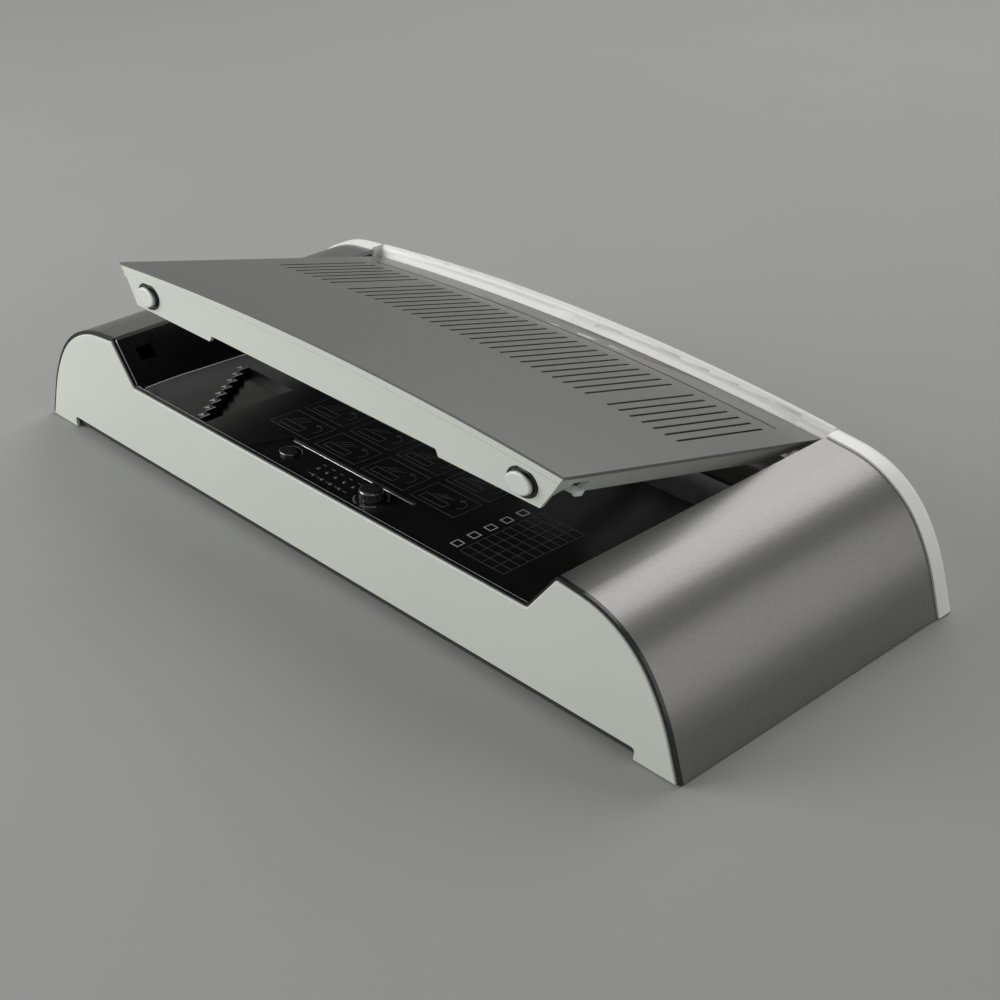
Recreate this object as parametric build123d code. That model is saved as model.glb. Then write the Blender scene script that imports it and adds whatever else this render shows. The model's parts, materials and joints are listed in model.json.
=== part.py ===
from build123d import *
import math
import os

os.makedirs("parts", exist_ok=True)

# Thermal binding machine, millimetres. +Z is up, the front faces -Y, and the origin is on the floor
# under the middle of the case. The lid pieces are drawn level and are then turned about the hinge line
# to the angle at which the lid stands open.

# ---- case ----
BODY_WIDTH = 530.0
BODY_DEPTH = 215.0
BODY_HEIGHT = 86.9
CROWN_RADIUS = 1875.0
SHOULDER_RADIUS = 62.0
FLANK_RADIUS = 109.0
SHOULDER_END_ANGLE = 56.2
FLANK_END_ANGLE = 73.1
GROUND_GAP = 0.8

# ---- dip between the two end towers ----
DIP_FLOOR_HALF = 163.9
DIP_FLOOR_Z = 52.0
DIP_SLOPE = 0.811
DIP_TOP_ROUND = 1.5
DIP_FOOT_ROUND = 3.0

# ---- walls and running gaps ----
PANEL_INSET = 1.2
PANEL_SHEET = 1.8
FASCIA_THICKNESS = 2.0
FASCIA_PROUD = 1.0
FASCIA_INSET = 2.0
FASCIA_DIP_INSET = 1.0
FASCIA_EDGE_ROUND = 0.8
FASCIA_RAISE = 6.6
FASCIA_FOOT_WIDTH = 30.0
TRIM_THICKNESS = 2.0
TRIM_BAND = 4.6
TRIM_PROUD = 0.2
TUB_WALL = 2.4
TUB_FLOOR_Z = 2.0
TUB_TOP_DROP = 2.6
RIB_THICKNESS = 2.4
RIB_CLEARANCE = 4.1
RIB_GAP_Y = 50.0
SEAM = 0.2
REAR_CAP_DEPTH = 13.8
REAR_ROUND = 6.0
REAR_WALL = 2.4

# ---- tray and control panel ----
TRAY_LIP = 2.0
TRAY_WALL = 2.4
TRAY_FALL = 3.0
CONTROL_FRONT_MARGIN = 3.0
CONTROL_WIDTH = 24.5
CONTROL_FRONT_HALF = 62.5
CONTROL_REAR_HALF = 52.0
CONTROL_DEPTH = 2.2
CONTROL_PLATE = 1.2
POCKET_WALL = 2.0

# ---- thickness gauge: a stepped recess in the tray ----
GAUGE_STEPS = 8
GAUGE_SIDE_MARGIN = 62.4
GAUGE_FRONT_MARGIN = 3.5
GAUGE_FIRST_WIDTH = 6.0
GAUGE_STEP_X = 5.3
GAUGE_STEP_Y = 7.8
GAUGE_DEPTH = 5.5

# ---- binding chamber ----
CHAMBER_END_MARGIN = 11.9
CHAMBER_WIDTH = 32.0
CHAMBER_REAR_MARGIN = 33.0
CHAMBER_FLOOR_Z = 16.0
TROUGH_SHEET = 1.6
ELEMENT_THICKNESS = 2.6
ELEMENT_WIDTH = 20.0
ELEMENT_END_MARGIN = 8.0
INSULATION_THICKNESS = 3.0

# ---- hinge ----
KNUCKLE_RADIUS = 12.5
HINGE_BELOW_LID = 4.0
HINGE_PIN_RADIUS = 1.6
PIN_CLEARANCE = 0.05
HINGE_BOSS_RADIUS = 3.2
HINGE_EAR_WIDTH = 7.0
HINGE_EAR_GAP = 0.8
HINGE_BRACKET_RADIUS = 4.4
HINGE_BRACKET_THICKNESS = 4.0
HINGE_BRACKET_DROP = 16.0
HINGE_RUN_GAP = 0.5
LID_OPEN_ANGLE = 14.65
LID_FURTHER_ANGLE = 58.0

# ---- lid ----
LID_SIDE_CLEARANCE = 1.63
LID_EDGE_DROP = 13.9
LID_CROWN = 7.0
LID_SHEET = 1.5
LID_LIP_HEIGHT = 1.6
LID_FRONT_SETBACK = 1.9
LID_FACE_RAKE = 11.3
LID_FACE_LAP = 0.9
LID_FOOT_CLEARANCE = 1.03
LID_FACE_THICKNESS = 2.4
LID_BEZEL_HEIGHT = 7.5
LID_BEZEL_STEP = 0.8
LID_GROOVE_DROP = 4.2
LID_GROOVE_WIDTH = 1.0
LID_NOTCH_HALF = 92.0
LID_NOTCH_HEIGHT = 3.6
LID_SIDE_DEPTH = 14.5
LID_SIDE_THICKNESS = 2.2
LID_LINER_DROP = 5.0
LID_LINER_THICKNESS = 2.0
LINER_WINDOWS = 5
LINER_WINDOW_PITCH = 56.0
LINER_WINDOW_WIDTH = 44.0
LINER_WINDOW_MARGIN = 4.0
LINER_RIB = 2.0

# ---- rear rim of the lid, sized at the open angle ----
RIM_SPLIT_MARGIN = 5.3
RIM_END_GAP = 1.6
RIM_SKIN = 2.2
RIM_CREST_SETBACK = 4.5
RIM_CREST_PROUD = 0.7
RIM_SHOULDER_SETBACK = 2.6
RIM_SHOULDER_DROP = 3.1
RIM_BACK_ROUND = 5.2
KNUCKLE_END_MARGIN = 23.0
KNUCKLE_SECTOR_DROP = 7.0
TONGUE_MARGIN = 3.0
TONGUE_DEPTH = 11.0

# ---- louvres ----
SLOT_PITCH = 8.03
SLOT_SIDE_MARGIN = 18.5
SLOT_BLANK_PLACE = 7
SLOT_WIDTH = 1.9
SLOT_LENGTH = 71.0
SLOT_REAR_MARGIN = 28.0
CREASE_REAR_MARGIN = 18.0
CREASE_SIDE_MARGIN = 17.3
CREASE_WIDTH = 1.6
CREASE_DEPTH = 0.5

# ---- lid latches ----
BUTTON_SIDE_MARGIN = 27.3
BUTTON_RISE = 8.8
BUTTON_HALF_WIDTH = 8.75
BUTTON_HALF_HEIGHT = 5.75
BUTTON_END_RADIUS = 3.6
BUTTON_PROUD = 3.5
BUTTON_GAP = 0.6
BUTTON_HOLE_BEVEL = 0.8
BUTTON_FLANGE = 1.4
BUTTON_FLANGE_LAP = 1.2
BUTTON_FLANGE_GAP = 0.3
BUTTON_TRAVEL = 2.2
BUTTON_STEM_RADIUS = 1.6
LATCH_SETBACK = 17.6
LATCH_PIVOT_DROP = 3.0
LATCH_PIN_RADIUS = 1.2
LATCH_BARREL_RADIUS = 2.4
LATCH_PLATE_HALF = 6.0
LATCH_PLATE_THICKNESS = 3.0
LATCH_CHEEK = 3.0
LATCH_SIDE_GAP = 0.4
LATCH_LENGTH = 10.8
LATCH_NOSE_RISE = 1.4
LATCH_NOSE_HEIGHT = 3.2
LATCH_NOSE_WIDTH = 4.5
LATCH_REACH = 3.5
LATCH_STEM_GAP = 0.7
KEEPER_AHEAD = 7.0
KEEPER_BEHIND = 4.0
KEEPER_RISE = 2.3
KEEPER_HEIGHT = 7.5

# ---- controls ----
POWER_X = -41.0
DIAL_X = 30.0
CONTROL_ROW_SETBACK = 12.0
POWER_HALF_WIDTH = 6.0
POWER_HALF_HEIGHT = 4.4
POWER_END_RADIUS = 3.2
POWER_PROUD = 1.6
POWER_TRAVEL = 0.8
DIAL_RADIUS = 6.6
DIAL_HEIGHT = 6.0
DIAL_NOTCHES = 12
DIAL_NOTCH_RADIUS = 0.9
DIAL_SHAFT_RADIUS = 2.0
CONTROL_GAP = 0.4
LENS_RADIUS = 1.1
LENS_PITCH = 7.3
LENS_COUNTS = (4, 5)
LENS_ROW_GAP = 6.5
LENS_ROW_OFFSET = 1.0
BOARD_THICKNESS = 1.6
BOARD_STANDOFF = 6.0
SWITCH_SIZE = 6.0
SWITCH_HEIGHT = 2.0
ENCODER_SIZE = 10.0

# ---- base fittings ----
FOOT_RADIUS = 9.0
FOOT_SIDE_MARGIN = 37.0
FOOT_END_MARGIN = 25.5
POST_RADIUS = 3.5
POST_SIDE_MARGIN = 13.9
POST_INNER_X = 62.0
POST_Y = (-58.0, 12.0)
BASE_VENT_LENGTH = 36.0
BASE_VENT_WIDTH = 4.0
BASE_VENT_PITCH = 50.0
BASE_VENT_Y = (-38.0, -26.0)
SCREW_HEAD_RADIUS = 3.2
SCREW_HEAD_HEIGHT = 1.2
POWER_BOARD_LENGTH = 70.0
POWER_BOARD_WIDTH = 30.0
POWER_BOARD_X = -105.0
POWER_BOARD_MARGIN = 7.5
POWER_BOARD_STANDOFF = 5.0
CUTOUT_X = 70.0
CUTOUT_RISE = 18.0
CUTOUT_RADIUS = 6.5
CUTOUT_DEPTH = 8.0
SENSOR_X = -20.0
SENSOR_RISE = 14.0
SENSOR_RADIUS = 2.2
REAR_VENT_X = 30.0
REAR_VENT_COUNT = 8
REAR_VENT_PITCH = 18.0
REAR_VENT_LENGTH = 13.0
REAR_VENT_HEIGHT = 2.6
REAR_VENT_ROWS = (18.0, 26.0, 34.0)
INLET_X = -120.0
INLET_Z = 26.0
INLET_WIDTH = 27.4
INLET_HEIGHT = 19.8
INLET_DEPTH = 22.0


def dip_half(z):
    """Half width of the dip between the towers at height z."""
    return DIP_FLOOR_HALF + (z - DIP_FLOOR_Z) * DIP_SLOPE


# ---- derived places along the depth ----
FRONT_Y = -BODY_DEPTH / 2
REAR_Y = BODY_DEPTH / 2
FASCIA_BACK_Y = FRONT_Y + FASCIA_THICKNESS
TRIM_Y = FRONT_Y + FASCIA_PROUD
PANEL_FRONT_Y = TRIM_Y + TRIM_THICKNESS
PANEL_REAR_Y = REAR_Y - REAR_CAP_DEPTH
REAR_INNER_Y = REAR_Y - REAR_WALL
HINGE_Y = REAR_Y - KNUCKLE_RADIUS
LINER_REAR_Y = HINGE_Y - KNUCKLE_RADIUS - 1.2
CONTROL_FRONT_Y = PANEL_FRONT_Y + CONTROL_FRONT_MARGIN
CONTROL_REAR_Y = CONTROL_FRONT_Y + CONTROL_WIDTH
CONTROL_ROW_Y = CONTROL_FRONT_Y + CONTROL_ROW_SETBACK
TRAY_CREASE_Y = CONTROL_REAR_Y + 1.0
TRAY_WALL_REAR_Y = HINGE_Y - HINGE_BOSS_RADIUS - 1.0
GAUGE_FRONT_Y = PANEL_FRONT_Y + GAUGE_FRONT_MARGIN
CHAMBER_REAR_Y = HINGE_Y - CHAMBER_REAR_MARGIN
CHAMBER_FRONT_Y = CHAMBER_REAR_Y - CHAMBER_WIDTH
LID_FRONT_Y = FRONT_Y + LID_FRONT_SETBACK
LID_FACE_BACK_Y = LID_FRONT_Y + LID_FACE_THICKNESS + LID_BEZEL_STEP
SLOT_REAR_Y = HINGE_Y - SLOT_REAR_MARGIN
SLOT_FRONT_Y = SLOT_REAR_Y - SLOT_LENGTH
CREASE_Y = HINGE_Y - CREASE_REAR_MARGIN
RIM_CREST_Y = REAR_Y - RIM_CREST_SETBACK
RIM_SHOULDER_Y = RIM_CREST_Y - RIM_SHOULDER_SETBACK
LATCH_PIVOT_Y = LID_FRONT_Y + LATCH_SETBACK
LATCH_FACE_Y = LATCH_PIVOT_Y - LATCH_PLATE_THICKNESS / 2
KEEPER_FRONT_Y = LATCH_PIVOT_Y - KEEPER_AHEAD
KEEPER_REAR_Y = LATCH_PIVOT_Y + KEEPER_BEHIND
FOOT_Y = REAR_Y - FOOT_END_MARGIN

# ---- derived heights ----
TRAY_TOP_Z = DIP_FLOOR_Z - TRAY_LIP
TRAY_LOW_Z = TRAY_TOP_Z - TRAY_FALL
TRAY_UNDER_Z = TRAY_LOW_Z - TRAY_WALL
TUB_TOP_Z = TRAY_UNDER_Z - TUB_TOP_DROP
CONTROL_BASE_Z = TRAY_TOP_Z - CONTROL_DEPTH
CONTROL_TOP_Z = CONTROL_BASE_Z + CONTROL_PLATE
BOARD_TOP_Z = CONTROL_BASE_Z - BOARD_STANDOFF
LID_EDGE_Z = BODY_HEIGHT - LID_EDGE_DROP
HINGE_Z = LID_EDGE_Z - HINGE_BELOW_LID
LID_FACE_BOTTOM_Z = DIP_FLOOR_Z - LID_FACE_LAP
LID_SIDE_TOP_Z = LID_EDGE_Z - LID_SHEET
LID_SIDE_BOTTOM_Z = LID_EDGE_Z - LID_SIDE_DEPTH
LID_LINER_Z = LID_EDGE_Z - LID_LINER_DROP
RIM_CREST_Z = BODY_HEIGHT + RIM_CREST_PROUD
RIM_SHOULDER_Z = RIM_CREST_Z - RIM_SHOULDER_DROP
LATCH_PIVOT_Z = LID_EDGE_Z - LATCH_PIVOT_DROP
LATCH_BOTTOM_Z = LATCH_PIVOT_Z - LATCH_LENGTH
KEEPER_LOW_Z = LATCH_BOTTOM_Z + KEEPER_RISE
KEEPER_HIGH_Z = KEEPER_LOW_Z + KEEPER_HEIGHT

# ---- derived half widths and places across the width ----
SHEET_INSIDE = PANEL_INSET + PANEL_SHEET
RIB_INNER_HALF = DIP_FLOOR_HALF + RIB_CLEARANCE
GAUGE_RIGHT_X = -DIP_FLOOR_HALF + GAUGE_SIDE_MARGIN
CHAMBER_LENGTH = 2 * (DIP_FLOOR_HALF - CHAMBER_END_MARGIN)
LID_HALF = dip_half(LID_EDGE_Z) - LID_SIDE_CLEARANCE
LID_FACE_FOOT_HALF = dip_half(LID_FACE_BOTTOM_Z) + LID_FOOT_CLEARANCE
LID_SIDE_TOP_HALF = LID_HALF - LID_SHEET - SEAM
LID_SIDE_ACROSS = LID_SIDE_THICKNESS * math.hypot(1, DIP_SLOPE)
LID_RAKE_RUN = math.tan(math.radians(LID_FACE_RAKE))
RIM_SPLIT_HALF = LID_HALF + RIM_SPLIT_MARGIN
RIM_HALF = RIM_SPLIT_HALF - RIM_END_GAP
KNUCKLE_HALF = RIM_HALF - KNUCKLE_END_MARGIN
TONGUE_HALF = KNUCKLE_HALF - TONGUE_MARGIN
WEB_OUTER_HALF = RIM_SPLIT_HALF + REAR_WALL
SLOT_PLACES = 2 * int((LID_HALF - SLOT_SIDE_MARGIN) / SLOT_PITCH) + 1
CREASE_HALF = LID_HALF - CREASE_SIDE_MARGIN
BUTTON_X = LID_HALF - BUTTON_SIDE_MARGIN
LATCH_REACH_X = dip_half(LATCH_BOTTOM_Z + LATCH_NOSE_RISE + LATCH_NOSE_HEIGHT) + LATCH_REACH
POST_OUTER_X = DIP_FLOOR_HALF - POST_SIDE_MARGIN
POST_X = (-POST_OUTER_X, -POST_INNER_X, POST_INNER_X, POST_OUTER_X)
FOOT_X = BODY_WIDTH / 2 - FOOT_SIDE_MARGIN

# A length well beyond the machine, for cuts that pass right through.
FAR = 400.0


def across(sketch, y_low, y_high):
    """Extrude an (x, z) sketch along the depth from y_low to y_high."""
    plane = Plane(origin=(0, y_high, 0), x_dir=(1, 0, 0), z_dir=(0, -1, 0))
    return extrude(plane * sketch, amount=y_high - y_low)


def along(sketch, x_low, x_high):
    """Extrude a (y, z) sketch along the width from x_low to x_high."""
    plane = Plane(origin=(x_low, 0, 0), x_dir=(0, 1, 0), z_dir=(1, 0, 0))
    return extrude(plane * sketch, amount=x_high - x_low)


def upward(sketch, z_low, z_high):
    """Extrude an (x, y) sketch from z_low to z_high."""
    return extrude(Plane.XY.offset(z_low) * sketch, amount=z_high - z_low)


def block(x_low, x_high, y_low, y_high, z_low, z_high):
    """A box from its six faces."""
    size = (x_high - x_low, y_high - y_low, z_high - z_low)
    return Pos((x_low + x_high) / 2, (y_low + y_high) / 2, (z_low + z_high) / 2) * Box(*size)


def cross_rod(x_low, x_high, y, z, radius):
    """A round bar along the width."""
    return along(Pos(y, z) * Circle(radius), x_low, x_high)


def post(x, y, z_low, z_high, radius):
    """A round upright post."""
    return upward(Pos(x, y) * Circle(radius), z_low, z_high)


def oval(half_width, half_height, end_radius):
    """An oval of four arcs that run into each other, wider than it is high."""
    top_radius = half_width ** 2 + half_height ** 2 - 2 * half_width * end_radius
    top_radius /= 2 * (half_height - end_radius)
    spread = half_width - end_radius
    rise = top_radius - half_height
    turn = math.atan2(spread, rise)
    joint = (spread + end_radius * math.sin(turn), end_radius * math.cos(turn))
    corners = [(joint[0] * side, joint[1] * up) for side, up in ((1, 1), (-1, 1), (-1, -1), (1, -1))]
    lines = [
        ThreePointArc(corners[0], (0, half_height), corners[1]),
        ThreePointArc(corners[1], (-half_width, 0), corners[2]),
        ThreePointArc(corners[2], (0, -half_height), corners[3]),
        ThreePointArc(corners[3], (half_width, 0), corners[0]),
    ]
    return make_face(Wire(lines))


def button_oval(growth):
    """Outline of a release button, grown evenly all round."""
    return oval(BUTTON_HALF_WIDTH + growth, BUTTON_HALF_HEIGHT + growth, BUTTON_END_RADIUS + growth)


def power_oval(growth):
    """Outline of the power button, grown evenly all round."""
    return oval(POWER_HALF_WIDTH + growth, POWER_HALF_HEIGHT + growth, POWER_END_RADIUS + growth)


def outline_drop(crown_end):
    """Width and drop of the arch from its middle down to the end of the flank arc."""
    turn = [math.radians(a) for a in (crown_end, SHOULDER_END_ANGLE, FLANK_END_ANGLE)]
    width = CROWN_RADIUS * math.sin(turn[0])
    width += SHOULDER_RADIUS * (math.sin(turn[1]) - math.sin(turn[0]))
    width += FLANK_RADIUS * (math.sin(turn[2]) - math.sin(turn[1]))
    drop = CROWN_RADIUS * (1 - math.cos(turn[0]))
    drop += SHOULDER_RADIUS * (math.cos(turn[0]) - math.cos(turn[1]))
    drop += FLANK_RADIUS * (math.cos(turn[1]) - math.cos(turn[2]))
    return width, drop


def crown_end_angle():
    """Angle at which the crown passes into the shoulder, so that the case is BODY_WIDTH wide at the floor."""
    low = 0.0
    high = SHOULDER_END_ANGLE
    for _ in range(60):
        middle = (low + high) / 2
        width, drop = outline_drop(middle)
        floor_half = width + (BODY_HEIGHT - drop) / math.tan(math.radians(FLANK_END_ANGLE))
        if floor_half < BODY_WIDTH / 2:
            low = middle
        else:
            high = middle
    return (low + high) / 2


CROWN_END_ANGLE = crown_end_angle()


def arch_point(angle, radius, centre, inset):
    """A point on one arc of the arch, as (x, z)."""
    turn = math.radians(angle)
    return (centre[0] + (radius - inset) * math.sin(turn), centre[1] + (radius - inset) * math.cos(turn))


def arc_centres():
    """Centres of the crown, shoulder and flank arcs, which touch each other end to end."""
    crown = (0.0, BODY_HEIGHT - CROWN_RADIUS)
    joint = math.radians(CROWN_END_ANGLE)
    step = CROWN_RADIUS - SHOULDER_RADIUS
    shoulder = (crown[0] + step * math.sin(joint), crown[1] + step * math.cos(joint))
    joint = math.radians(SHOULDER_END_ANGLE)
    step = SHOULDER_RADIUS - FLANK_RADIUS
    flank = (shoulder[0] + step * math.sin(joint), shoulder[1] + step * math.cos(joint))
    return crown, shoulder, flank


def arch(inset, bottom):
    """The closed cross-section of the case, drawn inset from its outside and cut off level at the bottom."""
    crown, shoulder, flank = arc_centres()
    top = (0.0, BODY_HEIGHT - inset)
    mid_shoulder_angle = (CROWN_END_ANGLE + SHOULDER_END_ANGLE) / 2
    mid_flank_angle = (SHOULDER_END_ANGLE + FLANK_END_ANGLE) / 2
    crown_end = arch_point(CROWN_END_ANGLE, CROWN_RADIUS, crown, inset)
    shoulder_mid = arch_point(mid_shoulder_angle, SHOULDER_RADIUS, shoulder, inset)
    shoulder_end = arch_point(SHOULDER_END_ANGLE, SHOULDER_RADIUS, shoulder, inset)
    flank_mid = arch_point(mid_flank_angle, FLANK_RADIUS, flank, inset)
    flank_end = arch_point(FLANK_END_ANGLE, FLANK_RADIUS, flank, inset)
    run = (flank_end[1] - bottom) / math.tan(math.radians(FLANK_END_ANGLE))
    floor = (flank_end[0] + run, bottom)

    def left(point):
        return (-point[0], point[1])

    lines = [
        ThreePointArc(left(crown_end), top, crown_end),
        ThreePointArc(crown_end, shoulder_mid, shoulder_end),
        ThreePointArc(shoulder_end, flank_mid, flank_end),
        Line(flank_end, floor),
        Line(floor, left(floor)),
        Line(left(floor), left(flank_end)),
        ThreePointArc(left(flank_end), left(flank_mid), left(shoulder_end)),
        ThreePointArc(left(shoulder_end), left(shoulder_mid), left(crown_end)),
    ]
    return make_face(Wire(lines))


def dip(shrink, floor_z):
    """The trapezium cut between the towers, drawn shrink narrower at each sloping wall."""
    side_shrink = shrink * math.hypot(1, DIP_SLOPE)
    top_z = BODY_HEIGHT + FAR / 4
    corners = [
        (dip_half(floor_z) - side_shrink, floor_z),
        (dip_half(top_z) - side_shrink, top_z),
        (-dip_half(top_z) + side_shrink, top_z),
        (-dip_half(floor_z) + side_shrink, floor_z),
    ]
    return make_face(Polyline(*corners, close=True))


def tower_face(inset, bottom, dip_shrink, dip_floor_z):
    """Cross-section with the dip taken out of it, its four corners rounded."""
    face = arch(inset, bottom) - dip(dip_shrink, dip_floor_z)
    feet = [v for v in face.vertices() if abs(v.Y - dip_floor_z) < 0.01 and abs(v.X) > 10]
    face = fillet(feet, DIP_FOOT_ROUND)
    reach = dip_half(BODY_HEIGHT)
    tops = [v for v in face.vertices() if abs(v.X) < reach and v.Y > dip_floor_z + 2 * DIP_FOOT_ROUND]
    return fillet(tops, DIP_TOP_ROUND)


def front_fascia():
    """Pale front moulding: two arched towers, the dip, a rounded front edge and a foot at each end."""
    inset = PANEL_INSET + FASCIA_INSET
    face = tower_face(inset, GROUND_GAP, -FASCIA_DIP_INSET, DIP_FLOOR_Z - FASCIA_DIP_INSET)
    body = across(face, FRONT_Y, FASCIA_BACK_Y)
    raised_z = GROUND_GAP + FASCIA_RAISE
    front_edges = [e for e in body.edges() if abs(e.center().Y - FRONT_Y) < 0.01 and e.center().Z > raised_z]
    body = fillet(front_edges, FASCIA_EDGE_ROUND)
    foot_inner = BODY_WIDTH / 2 - FASCIA_FOOT_WIDTH
    corners = [
        (-foot_inner, -1),
        (-foot_inner - 1, raised_z),
        (foot_inner + 1, raised_z),
        (foot_inner, -1),
    ]
    gap = make_face(Polyline(*corners, close=True))
    gap = fillet([v for v in gap.vertices() if v.Y > 0], 2.0)
    return body - across(gap, FRONT_Y - 1, FASCIA_BACK_Y + 1)


def edge_trim():
    """Gloss black band that frames the fascia, round both towers and through the dip."""
    inset = PANEL_INSET - TRIM_PROUD
    outside = tower_face(inset, GROUND_GAP, TRIM_PROUD, DIP_FLOOR_Z + TRIM_PROUD)
    inside = arch(inset + TRIM_BAND, -FAR / 4) - dip(-TRIM_BAND, DIP_FLOOR_Z - TRIM_BAND)
    seat_inset = PANEL_INSET + FASCIA_INSET - SEAM
    seat_lip = FASCIA_DIP_INSET - SEAM
    seat = tower_face(seat_inset, -FAR / 4, -seat_lip, DIP_FLOOR_Z - seat_lip)
    return across(outside - inside, TRIM_Y, PANEL_FRONT_Y) - across(seat, FRONT_Y, FASCIA_BACK_Y)


def side_panel(side):
    """Curved metal sheet that wraps one tower from the dip edge to the floor."""
    sheet = arch(PANEL_INSET, GROUND_GAP) - arch(SHEET_INSIDE, -FAR / 4) - dip(0.0, TUB_FLOOR_Z)
    body = across(sheet, PANEL_FRONT_Y, PANEL_REAR_Y)
    keep = block(0, FAR, FRONT_Y, REAR_Y, GROUND_GAP, BODY_HEIGHT + 1)
    if side < 0:
        keep = mirror(keep, Plane.YZ)
    return body & keep


def tower_rib(y):
    """A cross rib that fills both towers between the metal panel and the sloping inner wall."""
    low = DIP_FLOOR_Z - 2 * TRAY_WALL
    face = arch(SHEET_INSIDE, TUB_FLOOR_Z) - dip(-TRAY_WALL, low)
    face -= Pos(0, low / 2) * Rectangle(2 * RIB_INNER_HALF, low + 2)
    return across(face, y - RIB_THICKNESS / 2, y + RIB_THICKNESS / 2)


def tub_posts():
    """Screw posts that carry the tray, cut to the fall of its deck."""
    posts = [post(x, y, TUB_FLOOR_Z, TRAY_TOP_Z, POST_RADIUS) for x in POST_X for y in POST_Y]
    room = along(deck_side_view(FAR / 4), -FAR, FAR)
    return [item - room for item in posts]


def deck_side_view(rise):
    """Side view of the tray deck, level at the front, falling behind the crease; rise thickens it upwards."""
    top = [
        (PANEL_FRONT_Y, TRAY_TOP_Z),
        (TRAY_CREASE_Y, TRAY_TOP_Z),
        (CHAMBER_FRONT_Y, TRAY_LOW_Z),
        (REAR_INNER_Y, TRAY_LOW_Z),
    ]
    under = [(y, z - TRAY_WALL) for y, z in reversed(top)]
    raised = [(y, z + rise) for y, z in top]
    return make_face(Polyline(*raised, *under, close=True))


def base_tub():
    """Lower case: floor, curved side walls, low front wall, cross ribs in the towers, posts and vents."""
    outer = across(arch(SHEET_INSIDE, TUB_FLOOR_Z), PANEL_FRONT_Y, PANEL_REAR_Y)
    inner_face = arch(SHEET_INSIDE + TUB_WALL, TUB_FLOOR_Z + TUB_WALL)
    body = outer - across(inner_face, PANEL_FRONT_Y + TUB_WALL, FAR)
    body -= block(-FAR, FAR, -FAR, FAR, TUB_TOP_Z, FAR)
    first = PANEL_FRONT_Y + RIB_THICKNESS / 2
    last = TRAY_WALL_REAR_Y - RIB_THICKNESS
    count = round((last - first) / RIB_GAP_Y)
    for index in range(count + 1):
        body += tower_rib(first + (last - first) * index / count)
    for item in tub_posts():
        body += item
    for index in (-2, -1, 0, 1, 2):
        for y in BASE_VENT_Y:
            vent = Pos(index * BASE_VENT_PITCH, y) * SlotOverall(BASE_VENT_LENGTH, BASE_VENT_WIDTH)
            body -= upward(vent, 0, TUB_FLOOR_Z + TUB_WALL + 1)
    return body


def latch_pocket():
    """Window in the right tower's sloping wall for the nose of a lid latch."""
    low = dip_half(KEEPER_LOW_Z) - TRAY_WALL
    high = dip_half(KEEPER_HIGH_Z) + 3 * TRAY_WALL
    return block(low, high, KEEPER_FRONT_Y, KEEPER_REAR_Y, KEEPER_LOW_Z, KEEPER_HIGH_Z)


def gauge_outline():
    """Stair-step outline of the thickness gauge: one straight side and one side that steps out."""
    points = [(GAUGE_RIGHT_X, GAUGE_FRONT_Y)]
    left_x = GAUGE_RIGHT_X - GAUGE_FIRST_WIDTH
    y = GAUGE_FRONT_Y
    for _ in range(GAUGE_STEPS):
        points.append((left_x, y))
        y += GAUGE_STEP_Y
        points.append((left_x, y))
        left_x -= GAUGE_STEP_X
    points.append((GAUGE_RIGHT_X, y))
    return make_face(Polyline(*points, close=True))


def control_outline(shrink):
    """Trapezium of the control panel, drawn shrink smaller all round."""
    corners = [
        (-CONTROL_FRONT_HALF + shrink, CONTROL_FRONT_Y + shrink),
        (CONTROL_FRONT_HALF - shrink, CONTROL_FRONT_Y + shrink),
        (CONTROL_REAR_HALF - shrink, CONTROL_REAR_Y - shrink),
        (-CONTROL_REAR_HALF + shrink, CONTROL_REAR_Y - shrink),
    ]
    return make_face(Polyline(*corners, close=True))


def above_deck():
    """Everything above the top of the tray deck."""
    return along(deck_side_view(FAR / 4), -FAR, FAR) - along(deck_side_view(0), -FAR, FAR)


def tray_outline():
    """Cross-section that the tray and its cheeks fill between the towers."""
    return dip(-TRAY_WALL, TRAY_UNDER_Z) & arch(SHEET_INSIDE + SEAM, TUB_FLOOR_Z)


def tray():
    """Gloss black deck: it falls rearwards and holds the control recess, the gauge and the binding slot."""
    body = along(deck_side_view(0), -FAR, FAR) & across(tray_outline(), PANEL_FRONT_Y, REAR_INNER_Y)
    inside = Rectangle(2 * FAR, 2 * abs(PANEL_FRONT_Y))
    gauge_floor_z = TRAY_TOP_Z - GAUGE_DEPTH
    body += upward(control_outline(-POCKET_WALL) & inside, CONTROL_BASE_Z - POCKET_WALL, TRAY_TOP_Z)
    rim = offset(gauge_outline(), POCKET_WALL, kind=Kind.INTERSECTION) & inside
    body += upward(rim, gauge_floor_z - POCKET_WALL, TRAY_TOP_Z) - above_deck()
    body -= upward(control_outline(0.0), CONTROL_BASE_Z, TRAY_TOP_Z + 1)
    body -= upward(gauge_outline(), gauge_floor_z, TRAY_TOP_Z + 1)
    half = CHAMBER_LENGTH / 2
    body -= block(-half, half, CHAMBER_FRONT_Y, CHAMBER_REAR_Y, 0, TRAY_TOP_Z + 1)
    body -= post(POWER_X, CONTROL_ROW_Y, 0, TRAY_TOP_Z, POWER_END_RADIUS + CONTROL_GAP)
    return body - post(DIAL_X, CONTROL_ROW_Y, 0, TRAY_TOP_Z, DIAL_SHAFT_RADIUS + CONTROL_GAP)


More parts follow.
